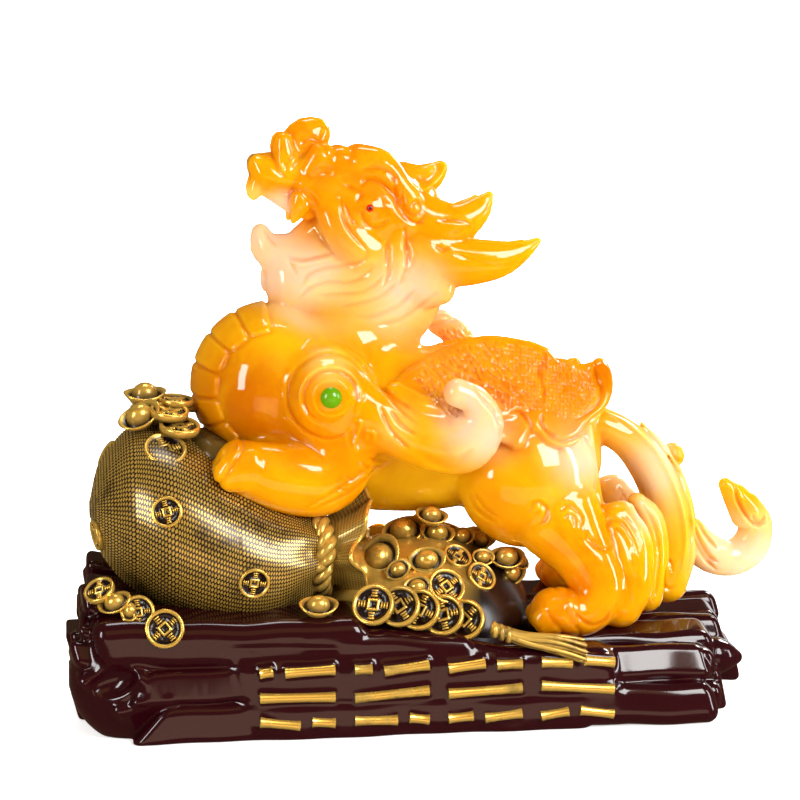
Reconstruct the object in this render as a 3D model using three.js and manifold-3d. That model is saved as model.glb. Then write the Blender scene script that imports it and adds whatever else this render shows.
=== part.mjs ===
// Pixiu on a treasure rock: a cast resin ornament, in millimetres, +Z up.
// The animal looks along -X, its left flank is at -Y, and the origin is the middle of the flat underside.

import * as THREE from 'three';
import { LoftGeometry } from 'three/addons/geometries/LoftGeometry.js';
import { ConvexGeometry } from 'three/addons/geometries/ConvexGeometry.js';
import { mergeVertices } from 'three/addons/utils/BufferGeometryUtils.js';
import Module from 'manifold-3d';

// Driving dimensions of the animal
const FIGURE_HEIGHT = 270;          // hind soles to the top of the nose flame
const SHOULDER_BEAD_RADIUS = 6.5;
const SHOULDER_BEAD_STAND = 2.6;    // how far a shoulder bead stands proud of its spiral
const EYE_BEAD_RADIUS = 2.2;
const EYE_BEAD_STAND = 0.9;
const GLUE_GAP = 0.3;               // clearance between one casting and the next

// Driving dimensions of the base
const ROCK_LENGTH = 372;
const ROCK_DEPTH = 168;
const ROCK_HEIGHT = 45;             // underside to the soles of the hind paws
const COIN_RADIUS = 8.2;
const COIN_STAND = 1.4;             // how far a coin stands proud of what it lies on
const INGOT_LENGTH = 22;
const ROPE_RADIUS = 4;
const TASSEL_LENGTH = 44;
const SIGN_GROUPS = 4;
const SIGN_PITCH = 48;              // from one group of strokes to the next
const SIGN_WIDTH = 38;              // width of a group of strokes
const SIGN_HEIGHT = 31;
const STROKE_WIDTH = 3.6;
const STROKE_RELIEF = 1.4;

// The tables of limbs below are drawn for an animal 270 tall whose soles are at 45
const DRAWN_HEIGHT = 270;
const DRAWN_SOLES = 45;
const SCALE = FIGURE_HEIGHT / DRAWN_HEIGHT;
const DOME_ANGLE = THREE.MathUtils.degToRad(55);

const kernel = await Module();
kernel.setup();

// A place in the tables as a place on the model
function place(x, y, z) {
  return new THREE.Vector3(x * SCALE, y * SCALE, ROCK_HEIGHT + (z - DRAWN_SOLES) * SCALE);
}

// Turns a closed three.js geometry into a solid whose faces point outwards
function solid(geometry) {
  const bare = geometry.index ? geometry.toNonIndexed() : geometry.clone();
  for (const name of Object.keys(bare.attributes)) {
    if (name !== 'position') {
      bare.deleteAttribute(name);
    }
  }
  const merged = mergeVertices(bare, 1e-3);
  const triangles = Uint32Array.from(merged.index.array);
  const made = (order) => new kernel.Manifold(new kernel.Mesh({
    numProp: 3,
    vertProperties: Float32Array.from(merged.attributes.position.array),
    triVerts: order,
  }));
  const first = made(triangles);
  if (first.volume() > 0) {
    return first;
  }
  return made(triangles.reverse());
}

function joined(solids) {
  return kernel.Manifold.union(solids);
}

function geometryOf(manifold) {
  const mesh = manifold.getMesh();
  const geometry = new THREE.BufferGeometry();
  geometry.setAttribute('position', new THREE.BufferAttribute(Float32Array.from(mesh.vertProperties), 3));
  geometry.setIndex(new THREE.BufferAttribute(Uint32Array.from(mesh.triVerts), 1));
  return geometry;
}

// A limb is a list of rows: x, y, z, radius in the side view, radius across
function curvesThrough(rows) {
  const centres = rows.map(([x, y, z]) => place(x, y, z));
  const sizes = rows.map(([, , , inView, across = inView]) => new THREE.Vector3(inView, across, 0));
  return {
    line: new THREE.CatmullRomCurve3(centres, false, 'catmullrom', 0.5),
    radii: new THREE.CatmullRomCurve3(sizes, false, 'catmullrom', 0.5),
  };
}

// A limb is lofted row by row. Its far end is rounded, and its root, which is buried, is flat.
function limb(rows, { sides = 8, swell = 0 } = {}) {
  const { line, radii } = curvesThrough(rows);
  const count = rows.length - 1;
  const sections = [];

  const ring = (t, shrink, shift) => {
    const along = line.getTangent(t);
    const level = Math.abs(along.y) > 0.9 ? new THREE.Vector3(1, 0, 0) : new THREE.Vector3(0, 1, 0);
    const across = level.addScaledVector(along, -level.dot(along)).normalize();
    const upward = new THREE.Vector3().crossVectors(along, across);
    const size = radii.getPoint(t).multiplyScalar(SCALE).addScalar(swell);
    const centre = line.getPoint(t).addScaledVector(along, shift * Math.min(size.x, size.y));
    return Array.from({ length: sides }, (_, i) => {
      const turn = 2 * Math.PI * i / sides;
      return centre.clone()
        .addScaledVector(across, Math.cos(turn) * size.y * shrink)
        .addScaledVector(upward, Math.sin(turn) * size.x * shrink);
    });
  };

  for (let i = 0; i <= count; i += 1) {
    sections.push(ring(i / count, 1, 0));
  }
  sections.push(ring(1, Math.cos(DOME_ANGLE), Math.sin(DOME_ANGLE)));
  return solid(new LoftGeometry(sections, { capStart: true, capEnd: true }));
}

// An egg: centre and three radii, turned by `tilt` degrees in the side view
function egg([x, y, z], [rx, ry, rz], { tilt = 0, round = 10, rows = 6, swell = 0 } = {}) {
  const ball = new THREE.SphereGeometry(1, round, rows);
  ball.rotateX(Math.PI / 2);
  ball.scale(rx * SCALE + swell, ry * SCALE + swell, rz * SCALE + swell);
  ball.rotateY(-THREE.MathUtils.degToRad(tilt));
  const centre = place(x, y, z);
  ball.translate(centre.x, centre.y, centre.z);
  return solid(ball);
}

// The same rows on the other flank. The far end moves on by `shift` and up by `lift`, the root by half as much.
function mirrored(rows, shift = 0, lift = 0) {
  return rows.map(([x, y, z, ...sizes], i) => {
    const share = 0.5 + 0.5 * i / (rows.length - 1);
    return [x + shift * share, -y, z + lift * share, ...sizes];
  });
}

// Limbs of the animal's trunk
const TRUNK = [
  [-117, 0, 172, 9], [-111, 0, 172, 25, 25], [-97, 0, 172, 38.5, 38], [-74.6, 0, 171.5, 45.5, 44],
  [-50, 0, 160, 47, 43], [-24, 0, 148, 45, 39], [4, 0, 140.5, 39.5, 37], [30, 0, 139, 36, 36],
  [56, 0, 131, 36, 36], [76, 0, 128, 29, 28],
];
const BACK = [[-22, 0, 168, 20, 25], [28, 0, 176, 20, 22], [66, 0, 166, 18, 19], [88, 0, 152, 13, 16]];
const NECK = [[-42, 0, 178, 31, 29], [-26, 0, 201, 27, 23], [-14, 0, 221, 31, 23], [-14, 0, 240, 26, 21]];
const CHEST_CENTRE = [-74.6, 171.5];    // x and z
const CHEST_PLATES = 6;
const CHEST_PLATE_RADII = [9.5, 25, 10];
const CHEST_PLATE_REACH = 37.5;         // from the chest's centre to the middle of a plate

// Limbs of the head
const SKULL = [
  [6, 0, 256, 14, 14], [-8, 0, 259, 26, 22], [-28, 0, 264, 25, 22], [-46, 0, 276, 16, 16.5],
  [-66, 0, 281.5, 12.5, 13.5], [-80, 0, 287, 7, 9],
];
const JAW = [
  [-8, 0, 238, 21, 20], [-32, 0, 235, 18, 18], [-54, 0, 239, 15, 16], [-70, 0, 241.5, 11, 12.5],
  [-78.5, 0, 247, 6.5, 9], [-80.5, 0, 253, 3.5, 6],
];
const THROAT = [[-14, 0, 216, 26, 21], [-42, 0, 221, 22, 18], [-60, 0, 227, 18, 14], [-66, 0, 221, 12, 10]];
const MOUTH_CORNER = [-40, 0, 253];
const NOSE_FLAME = [[-60, 0, 288, 12, 10], [-55, 0, 299, 10, 8], [-50, 0, 306, 6, 6]];
const NOSTRIL = [[-66, -7, 289, 7, 6], [-68.5, -7, 297, 6, 5]];
const FANG = [[-79, -8, 281, 4.4, 3.6], [-83.5, -8, 270.5, 1.8, 1.8]];
const LIP_CURL = [[-57, -13, 273, 7, 5], [-62.5, -14, 260, 4, 3.5]];
const BROW = [[-44, -8, 284, 9, 8], [-34, -9, 289, 8.5, 8], [-22, -12, 287, 10.5, 8], [-4, -17, 275, 7, 6]];
const CHEEK = [[-44, -13, 266, 9, 7], [-37, -15, 252, 11, 8], [-25, -16, 240, 10, 7]];
const EYEBALL = [-25, -16, 265];
const EYEBALL_RADII = [9, 8, 8];
const EAR = [[-6, -20, 275, 6, 4], [1, -22, 267, 7, 5], [0, -22, 257, 6, 4]];
const CREST = [[-6, 0, 277, 13, 11], [6, 0, 279, 9.5, 7], [18, 0, 286.5, 1.8, 1.8]];
const MANE = [
  [[-2, -10, 258, 17, 12], [14, -12, 256, 14.5, 10], [29, -13, 262, 8.5, 7], [39, -13, 269.5, 2, 2]],
  [[2, -12, 240, 17, 12], [23, -14, 236, 13.5, 10], [44, -15, 237.5, 9.5, 7], [64, -15, 245, 1.6, 1.6]],
];

// Limbs of the near flank, which is at -Y
const SHOULDER = [-49.1, -30, 170.5];
const SHOULDER_RADIUS = 26;
const SHOULDER_DOME = 26;           // how far the shoulder's dome stands out from its centre
const SHOULDER_RINGS = 2;
const RING_RISE = 1.2;              // relief of the rings carved on a dome
const SHOULDER_FLAME = [
  [-40, -44, 170, 13, 10], [-13.3, -47, 151.8, 13.5, 12], [11, -50, 143.5, 14.5, 12],
  [22.5, -52, 147, 14, 11], [29, -54.5, 156, 11.5, 9], [26.5, -56, 167, 7.8, 7], [18.5, -57, 171.5, 6.2, 6],
];
const SHOULDER_BAND = [
  [-50, -48, 194, 4, 5], [-34, -50, 189, 4.5, 6], [-18, -46, 172, 5, 8], [0, -42, 158, 4, 8],
];
const FORELEG = [
  [-48, -34, 162, 21, 16], [-43, -40, 138, 18, 15], [-52, -43, 125.5, 17.5, 14.5],
  [-70, -45, 124.5, 16, 14], [-91, -45, 128.5, 13.5, 13],
];
const HAUNCH = [58, -28, 122];
const HAUNCH_RADII = [37, 27, 37];
const HAUNCH_CURL = [54, -40, 109];
const HAUNCH_CURL_RADIUS = 15;
const HIND_LEG = [
  [72, -42, 103, 24, 14], [85, -46, 84, 17, 14], [92, -49, 66, 15, 14], [84, -51, 55, 13.5, 14],
  [68, -53, 55.5, 12.5, 13.5],
];
const FETLOCK = [
  [98, -40, 106, 12, 9], [108, -43, 86, 13, 10], [112, -45, 68, 13, 10], [115, -46, 54, 10, 10],
];

// Limbs of the tail: the fall that rests on the rock, and the strand that curls up behind
const TAIL_FALL = [
  [104, 0, 146, 9, 12], [122, 0, 136, 11.5, 13], [136, 0, 117, 13, 13], [143, -1, 96, 13.5, 12],
  [144, -3, 76, 13.5, 12], [139, -5, 58, 13, 11],
];
const TAIL_CURL = [
  [148, 3, 104, 5, 7], [156, 5, 85, 8, 8], [166, 7, 72.5, 10.5, 9], [180, 9, 67.5, 10, 9],
  [191.5, 10, 73.5, 10.5, 9], [194.5, 9, 86, 9.5, 8], [188, 8, 97, 8.5, 7],
];
const TAIL_BUD = [[189, 8, 93, 9.5, 9], [182, 7, 103, 7, 7], [176, 6, 109.5, 4, 4]];
const TAIL_NUB = [[138, 5, 123, 7, 6], [147, 9, 126.5, 7, 6]];

// Each layer of a wing is an outline in the side view, x and z, from its root round to its tip
const WING_QUILLS = [
  [-8, 176], [12, 190], [40, 196], [70, 189], [86, 178], [97, 181], [102, 175], [100, 165], [92, 156],
  [86, 146], [77, 141.5], [67, 144], [60, 149], [52, 141], [38, 141], [10, 152],
];
const WING_COVERTS = [
  [-14, 175], [-2, 185], [14, 192], [34, 198], [53, 197], [70, 190], [74, 181],
  [66, 170], [50, 158], [24, 154], [0, 158],
];
const WING_FOOT_Y = -41;            // how far out the wing's lower edge stands
const WING_LEAN = 26 / 56;          // how much the wing leans in, for each millimetre up
const WING_FOOT_Z = 142;
const WING_THICKNESS = 8;
const COVERT_STAND = 2.5;           // how far the upper layer stands proud of the lower one

// The far legs stand a little further back, and the far shoulder's flame a little higher
const FAR_FORELEG_SHIFT = 12;
const FAR_HIND_SHIFT = 26;
const FAR_FLAME_SHIFT = 8;
const FAR_FLAME_LIFT = 14;

// One layer of a wing: a flat plate, sheared so that its top leans towards the spine
function wingLayer(outline, proud, side) {
  const points = outline.map(([x, z]) => new THREE.Vector2(x * SCALE, (z - DRAWN_SOLES) * SCALE));
  const shape = new THREE.Shape(points);
  const plate = new THREE.ExtrudeGeometry(shape, { depth: WING_THICKNESS * SCALE, bevelEnabled: false });
  plate.rotateX(Math.PI / 2);
  const places = plate.attributes.position;
  for (let i = 0; i < places.count; i += 1) {
    const up = places.getZ(i) - (WING_FOOT_Z - DRAWN_SOLES) * SCALE;
    const out = (WING_FOOT_Y - proud) * SCALE + places.getY(i) + WING_THICKNESS * SCALE + up * WING_LEAN;
    places.setXYZ(i, places.getX(i), side * out, places.getZ(i) + ROCK_HEIGHT);
  }
  return solid(plate);
}

// A dome of raised rings that faces out along Y, as is carved on a shoulder or a haunch.
// `side` is 1 on the near flank, which looks along -Y, and -1 on the far one.
function ringedDome([x, y, z], radius, height, rings, side) {
  const step = radius / rings;
  const profile = [new THREE.Vector2(0, 0), new THREE.Vector2(radius, 0)];
  for (let outer = radius; outer > step / 2; outer -= step) {
    const level = height * Math.sqrt(1 - (outer / radius) ** 2 * 0.75);
    profile.push(new THREE.Vector2(outer, level), new THREE.Vector2(outer - step * 0.45, level + RING_RISE));
  }
  profile.push(new THREE.Vector2(0, height));
  const dome = new THREE.LatheGeometry(profile, 9);
  dome.scale(SCALE, -SCALE * side, SCALE);
  const centre = place(x, y, z);
  dome.translate(centre.x, centre.y, centre.z);
  return solid(dome);
}

function trunk(swell = 0) {
  const parts = [
    limb(TRUNK, { sides: 12, swell }),
    limb(BACK, { sides: 6 }),
    limb(NECK, { sides: 7 }),
  ];
  for (let i = 0; i < CHEST_PLATES; i += 1) {
    const tilt = 112 + i * 19;
    const angle = THREE.MathUtils.degToRad(tilt);
    const [x, z] = CHEST_CENTRE;
    const centre = [x + Math.cos(angle) * CHEST_PLATE_REACH, 0, z + Math.sin(angle) * CHEST_PLATE_REACH];
    parts.push(egg(centre, CHEST_PLATE_RADII, { tilt, round: 6, rows: 3, swell }));
  }
  return parts;
}

function head() {
  const parts = [
    limb(SKULL),
    limb(JAW),
    limb(THROAT, { sides: 7 }),
    limb(NOSE_FLAME, { sides: 5 }),
    limb(CREST, { sides: 5 }),
    egg(MOUTH_CORNER, [19, 15, 15], { round: 6, rows: 4 }),
  ];
  for (const rows of [NOSTRIL, FANG, LIP_CURL, EAR, CHEEK, BROW, ...MANE]) {
    parts.push(limb(rows, { sides: 5 }), limb(mirrored(rows), { sides: 5 }));
  }
  for (const side of [1, -1]) {
    const [x, y, z] = EYEBALL;
    parts.push(egg([x, side * y, z], EYEBALL_RADII, { round: 6, rows: 3 }));
  }
  return parts;
}

// Three toes side by side, at the far end of a leg
const TOE_REACH = 8;
const TOE_PITCH = 8.2;

function paw(leg, swell) {
  const [x, y, z, radius] = leg.at(-1);
  return [-1, 0, 1].map((toe) => egg(
    [x - TOE_REACH, y + toe * TOE_PITCH, z - 1.5], [radius * 0.62, TOE_PITCH * 0.62, radius * 0.6],
    { round: 5, rows: 3, swell }));
}

function legs(swell = 0) {
  const parts = [];
  const farForeleg = mirrored(FORELEG, FAR_FORELEG_SHIFT);
  const farHindLeg = mirrored(HIND_LEG, FAR_HIND_SHIFT);
  for (const leg of [FORELEG, farForeleg, HIND_LEG, farHindLeg]) {
    parts.push(limb(leg, { sides: 7, swell }), ...paw(leg, swell));
  }
  parts.push(
    limb(FETLOCK, { sides: 6, swell }),
    limb(mirrored(FETLOCK, FAR_HIND_SHIFT / 2), { sides: 6, swell }),
    egg(HAUNCH, HAUNCH_RADII, { round: 8, rows: 6, swell }),
    egg([HAUNCH[0] + FAR_HIND_SHIFT / 3, -HAUNCH[1], HAUNCH[2]], HAUNCH_RADII, { round: 8, rows: 6, swell }),
  );
  return parts;
}

function tail(swell = 0) {
  return [
    limb(TAIL_FALL, { sides: 6, swell }),
    limb(TAIL_CURL, { sides: 6, swell }),
    limb(TAIL_BUD, { sides: 5 }),
    limb(TAIL_NUB, { sides: 5 }),
  ];
}

// The near flank carries all the carving. The far one, which stands against a wall, is plainer.
function flanks() {
  const [x, y, z] = SHOULDER;
  const [curlX, curlY, curlZ] = HAUNCH_CURL;
  const parts = [
    limb(SHOULDER_FLAME, { sides: 6 }),
    limb(mirrored(SHOULDER_FLAME, FAR_FLAME_SHIFT, FAR_FLAME_LIFT), { sides: 6 }),
    limb(SHOULDER_BAND, { sides: 5 }),
    wingLayer(WING_COVERTS, COVERT_STAND, 1),
  ];
  for (const side of [1, -1]) {
    parts.push(
      ringedDome([x, side * y, z], SHOULDER_RADIUS, SHOULDER_DOME, SHOULDER_RINGS, side),
      ringedDome([curlX, side * curlY, curlZ], HAUNCH_CURL_RADIUS, HAUNCH_CURL_RADIUS, 1, side),
      wingLayer(WING_QUILLS, 0, side),
    );
  }
  return parts;
}

// The rock is a bundle of long stones that lie along X, round an oval plan
const PLAN_TAPER = 0.2;             // how much shorter the outermost stones are than the middle ones
const STONE_ROWS = 5;
const STONE_OVERLAP = 1.25;
const LOWER_SHARE = 0.6;            // height of the lower course, as a share of the rock's
const BANK_HEIGHT = 14;             // the bank under the sack, above the soles of the hind paws
const BANK_END = 0.14;              // where the bank ends, as a share of the rock's half length
const BANK_ROWS = [-0.69, -0.3, 0.2, 0.66];   // shares of the rock's half depth
// Crags at the foot of the sack: share of the rock's depth, length, height above the soles
const CRAGS = [[0.08, 58, 38], [0.3, 66, 26], [-0.3, 50, 18]];

// A value between -1 and 1 that depends only on `seed`
function jitter(seed) {
  const wave = Math.sin(seed * 127.1 + 11.7) * 43758.5453;
  return 2 * (wave - Math.floor(wave)) - 1;
}

// Half the rock's length at a distance `y` from its middle
function reach(y) {
  return ROCK_LENGTH / 2 * (1 - PLAN_TAPER * Math.min(1, Math.abs(2 * y / ROCK_DEPTH)) ** 3);
}

// A stone bar: a hull round flattened six-sided sections, with broken, tapered ends
function stone({ from, to, y, low, high, half, drop = 0, seed }) {
  const outline = [[-0.9, 0], [0.9, 0], [1, 0.66], [0.6, 1], [-0.6, 1], [-1, 0.66]];
  const chip = Math.min(16, (to - from) * 0.2);
  const points = [];
  const section = (x, shrink, top) => {
    for (const [side, up] of outline) {
      points.push(new THREE.Vector3(x, y + side * half * shrink, low + (top - low) * (up * shrink)));
    }
  };
  section(from + chip * 0.35 * (1 + jitter(seed)), 0.66, high);
  section(from + chip, 1, high + jitter(seed + 1) * 1.2);
  section(to - chip, 1, high - drop + jitter(seed + 2) * 1.2);
  section(to - chip * 0.35 * (1 + jitter(seed + 3)), 0.66, high - drop);
  return solid(new ConvexGeometry(points));
}

function rock() {
  const stones = [];
  const pitch = ROCK_DEPTH / STONE_ROWS;
  const half = pitch / 2 * STONE_OVERLAP;
  const edge = ROCK_DEPTH / 2 - half;
  const lower = ROCK_HEIGHT * LOWER_SHARE;
  for (let row = 0; row < STONE_ROWS; row += 1) {
    const y = -edge + 2 * edge * row / (STONE_ROWS - 1);
    const ends = reach(Math.abs(y) + half * 0.7);
    stones.push(stone({ from: -ends, to: ends, y, low: 0, high: lower, half, seed: row * 7 }));
    const inset = 5 + 5 * Math.abs(jitter(row + 40));
    stones.push(stone({
      from: -ends + inset,
      to: ends - inset - 4,
      y: y * 0.96,
      low: lower * 0.7,
      high: ROCK_HEIGHT + (row - 2) * 1.5,
      half: half * 0.98,
      seed: row * 7 + 50,
    }));
  }
  for (const [row, share] of BANK_ROWS.entries()) {
    const y = share * ROCK_DEPTH / 2;
    stones.push(stone({
      from: -reach(y) + 12 + 5 * jitter(row + 90),
      to: ROCK_LENGTH / 2 * (BANK_END + 0.08 * jitter(row + 71)),
      y,
      low: ROCK_HEIGHT * 0.7,
      high: ROCK_HEIGHT + BANK_HEIGHT + 2 * jitter(row + 80),
      half: half * 1.3,
      drop: 8,
      seed: row * 5 + 120,
    }));
  }
  for (const [share, length, rise] of CRAGS) {
    const y = share * ROCK_DEPTH;
    const from = -reach(y) + 4;
    const high = ROCK_HEIGHT + rise;
    stones.push(stone({ from, to: from + length, y, low: ROCK_HEIGHT * 0.8, high, half, seed: 200 + rise }));
  }
  // The smooth face that carries the sign
  const length = SIGN_PITCH * SIGN_GROUPS + 10;
  const face = new THREE.BoxGeometry(length, ROCK_DEPTH / 2 - edge, ROCK_HEIGHT - 4);
  face.translate(SIGN_CENTRE, -(ROCK_DEPTH / 2 + edge) / 2, ROCK_HEIGHT / 2);
  stones.push(solid(face));
  return stones;
}

// The sign: groups of shallow strokes in rows, raised on the front face
const SIGN_CENTRE = 2;
const STROKE_ROWS = 3;

function sign() {
  const strokes = [];
  for (let group = 0; group < SIGN_GROUPS; group += 1) {
    const middle = SIGN_CENTRE + (group - (SIGN_GROUPS - 1) / 2) * SIGN_PITCH;
    for (let row = 0; row < STROKE_ROWS; row += 1) {
      const z = ROCK_HEIGHT / 2 + (row / (STROKE_ROWS - 1) - 0.5) * (SIGN_HEIGHT - STROKE_WIDTH);
      const split = (0.5 + 0.22 * jitter(group * 9 + row + 300)) * SIGN_WIDTH;
      const broken = [[0, split - STROKE_WIDTH], [split + STROKE_WIDTH * 0.4, SIGN_WIDTH]];
      const spans = row === 1 ? [[0, SIGN_WIDTH]] : broken;
      for (const [i, [start, end]] of spans.entries()) {
        const length = end - start;
        const tilt = 0.16 * jitter(group * 17 + row * 3 + i + 400);
        const stroke = new THREE.BoxGeometry(length, 2 * STROKE_RELIEF, STROKE_WIDTH);
        stroke.rotateY(tilt);
        stroke.translate(middle - SIGN_WIDTH / 2 + (start + end) / 2, -ROCK_DEPTH / 2, z);
        strokes.push(solid(stroke));
      }
    }
  }
  return strokes;
}

// The money sack, from its fat end at the left to the tied neck and the open mouth at the right
const SACK = [
  [-170, -14, 109, 8, 10], [-165, -14, 109.5, 25, 28], [-148, -13, 108, 44, 48], [-128, -13, 100, 50, 57],
  [-97, -14, 87, 45, 57], [-78, -18, 83, 36, 50],
  [-64, -26, 84.5, 27, 37], [-53, -34, 86, 19, 23], [-45, -38, 86, 20, 24], [-38, -41, 85, 22, 27],
];
const ROPE_ROW = 7;                 // the row of the sack where the rope is tied
// Coins woven into the sack: share along it, and degrees above its front
const SACK_COINS = [[0.33, 17], [0.49, -10], [0.29, 59], [0.15, 60], [0.13, -20]];

// A point on the sack and the way it faces, at a share along it and an angle above the front
function onSack(share, degrees) {
  const { line, radii } = curvesThrough(SACK);
  const at = (t, angle) => {
    const size = radii.getPoint(t).multiplyScalar(SCALE);
    return line.getPoint(t).add(new THREE.Vector3(0, -Math.cos(angle) * size.y, Math.sin(angle) * size.x));
  };
  const angle = THREE.MathUtils.degToRad(degrees);
  const point = at(share, angle);
  const alongStep = at(Math.min(share + 0.01, 1), angle).sub(at(Math.max(share - 0.01, 0), angle));
  const roundStep = at(share, angle + 0.02).sub(at(share, angle - 0.02));
  return { point, normal: new THREE.Vector3().crossVectors(alongStep, roundStep).normalize() };
}

// A round coin that shows its face. Its root is sunk in what it lies on.
function coin(point, normal, radius = COIN_RADIUS) {
  const disc = new THREE.CylinderGeometry(radius, radius, COIN_ROOT + COIN_STAND, 8);
  disc.translate(0, (COIN_STAND - COIN_ROOT) / 2, 0);
  disc.applyQuaternion(new THREE.Quaternion().setFromUnitVectors(new THREE.Vector3(0, 1, 0), normal));
  disc.translate(point.x, point.y, point.z);
  return solid(disc);
}

// A boat-shaped ingot: a hull, a brim and a dome
function ingot(point, heading, length = INGOT_LENGTH) {
  const profile = INGOT_PROFILE.map(([out, up]) => new THREE.Vector2(out * length, up * length));
  const boat = new THREE.LatheGeometry(profile, 6);
  boat.rotateX(Math.PI / 2);
  boat.scale(1, 0.62, 1);
  boat.rotateZ(THREE.MathUtils.degToRad(heading));
  boat.translate(point.x, point.y, point.z);
  return solid(boat);
}

const COIN_ROOT = 10;
const INGOT_PROFILE = [[0, -0.4], [0.47, 0.1], [0.28, 0.15], [0.2, 0.4], [0, 0.48]];

// The heap of treasure that spills from the sack's mouth
const HEAP_CENTRE = [2, -10, 47];
const HEAP_RADII = [64, 65, 44];
// Ingots on the heap: x, y, heading in degrees
const HEAP_INGOTS = [
  [-3, -16, 20], [-20, -44, 60], [4, -38, -20], [17, -8, 10], [34, -4, 40], [50, -12, 10],
];
const HEAP_COINS = [[20, -27], [34, -38]];

// A row of large coins that lean on the front of the bank
const ROW_COINS = 4;
const ROW_COIN_RADIUS = 11.5;
const ROW_PITCH = 14;
const ROW_FALL = 2.6;
const ROW_INSET = 13;               // from the rock's front to the middle of a coin

function onHeap(x, y) {
  const [cx, cy, cz] = HEAP_CENTRE;
  const [rx, ry, rz] = HEAP_RADII;
  const z = cz + rz * Math.sqrt(Math.max(0.02, 1 - ((x - cx) / rx) ** 2 - ((y - cy) / ry) ** 2));
  const normal = new THREE.Vector3((x - cx) / rx ** 2, (y - cy) / ry ** 2, (z - cz) / rz ** 2).normalize();
  return { point: place(x, y, z), normal };
}

// A place over the rock: x, distance in from its front, height above the soles
function atFront(x, inset, up) {
  return new THREE.Vector3(x, -ROCK_DEPTH / 2 + inset, ROCK_HEIGHT + up);
}

function treasure() {
  const parts = [egg(HEAP_CENTRE, HEAP_RADII, { round: 10, rows: 6 })];
  for (const [x, y, heading] of HEAP_INGOTS) {
    parts.push(ingot(onHeap(x, y).point, heading));
  }
  for (const [x, y] of HEAP_COINS) {
    const { point, normal } = onHeap(x, y);
    parts.push(coin(point, normal));
  }
  for (let i = 0; i < ROW_COINS; i += 1) {
    const lean = new THREE.Vector3(0.35, -0.8, 0.5).normalize();
    parts.push(coin(atFront(-27 + i * ROW_PITCH, ROW_INSET, 17.5 - i * ROW_FALL), lean, ROW_COIN_RADIUS));
  }
  return parts;
}

function sackAndTies() {
  const parts = [limb(SACK, { sides: 12 })];
  const [x, y, z, up, across] = SACK[ROPE_ROW];
  const rope = new THREE.TorusGeometry(1, ROPE_RADIUS / (up * SCALE), 4, 10);
  rope.rotateY(Math.PI / 2);
  rope.scale(up * SCALE, across * SCALE, up * SCALE);
  rope.translate(...place(x, y, z).toArray());
  parts.push(solid(rope));
  for (const [share, degrees] of SACK_COINS) {
    const { point, normal } = onSack(share, degrees);
    parts.push(coin(point, normal));
  }
  // The coins and ingots on the sack's shoulder
  parts.push(egg([-134, 4, 148], [17, 19, 14], { round: 8, rows: 4 }));
  parts.push(ingot(place(-141, 9, 162), 10), ingot(place(-145, -3, 155), 40));
  for (const [cx, cy, cz] of [[-128, 6, 161], [-127, -11, 151]]) {
    parts.push(coin(place(cx, cy, cz), new THREE.Vector3(0.15, -0.35, 0.9).normalize(), COIN_RADIUS * 1.3));
  }
  // The ingots and coins at its foot
  const leftEnd = -ROCK_LENGTH / 2;
  parts.push(
    ingot(atFront(leftEnd + 23, 35, 25), 20),
    ingot(atFront(-58, 19, 15), 0, INGOT_LENGTH * 0.8),
    coin(atFront(leftEnd + 37, 20, 21), new THREE.Vector3(-0.2, -0.85, 0.4).normalize()),
    coin(atFront(leftEnd + 49.5, 13, 15), new THREE.Vector3(-0.1, -0.9, 0.3).normalize(), COIN_RADIUS * 1.15),
  );
  return parts;
}

// The tassel of the rope, which lies on the rock's front edge
const TASSEL_START = [31, -74, 48];

function tassel() {
  const rows = [[0, 0, 4, 4.5], [0.35, -1, 4.5, 6], [0.7, -2, 4.5, 10], [1, -3, 3, 12]].map(
    ([share, dip, up, across]) => [share * TASSEL_LENGTH / SCALE, 0, dip - 9 * share, up, across]);
  const [x, y, z] = TASSEL_START;
  const moved = rows.map(([along, , down, ...sizes]) => [x + along, y, z + down, ...sizes]);
  return [
    limb(moved, { sides: 6 }),
    egg([x, y, z], [6, 6, 6], { round: 6, rows: 3 }),
    egg([x + 9, y - 1, z - 3], [4, 6.5, 6.5], { round: 6, rows: 3 }),
  ];
}

const animal = joined([...trunk(), ...head(), ...legs(), ...tail(), ...flanks()]);
const grownAnimal = joined([...trunk(GLUE_GAP), ...legs(GLUE_GAP), ...tail(GLUE_GAP)]);
const wholeBase = joined([...rock(), ...sign(), ...sackAndTies(), ...treasure(), ...tassel()]);
const treasureBase = wholeBase.subtract(grownAnimal);

// A bead of its own and the socket that is cut for it, on each flank
const beads = [];
let carved = animal;
for (const [name, side] of [['left', 1], ['right', -1]]) {
  const [sx, sy, sz] = SHOULDER;
  const [ex, ey, ez] = EYEBALL;
  const shoulderFace = sy - SHOULDER_DOME;
  const eyeFace = ey - EYEBALL_RADII[1];
  const shoulder = place(sx, side * shoulderFace, sz);
  shoulder.y -= side * (SHOULDER_BEAD_STAND - SHOULDER_BEAD_RADIUS);
  const eye = place(ex, side * eyeFace, ez);
  eye.y -= side * (EYE_BEAD_STAND - EYE_BEAD_RADIUS);
  beads.push([`shoulder_bead_${name}`, shoulder, SHOULDER_BEAD_RADIUS]);
  beads.push([`eye_bead_${name}`, eye, EYE_BEAD_RADIUS]);
}
for (const [, centre, radius] of beads) {
  const socket = new THREE.SphereGeometry(radius + GLUE_GAP, 8, 4);
  socket.translate(centre.x, centre.y, centre.z);
  carved = carved.subtract(solid(socket));
}

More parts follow.
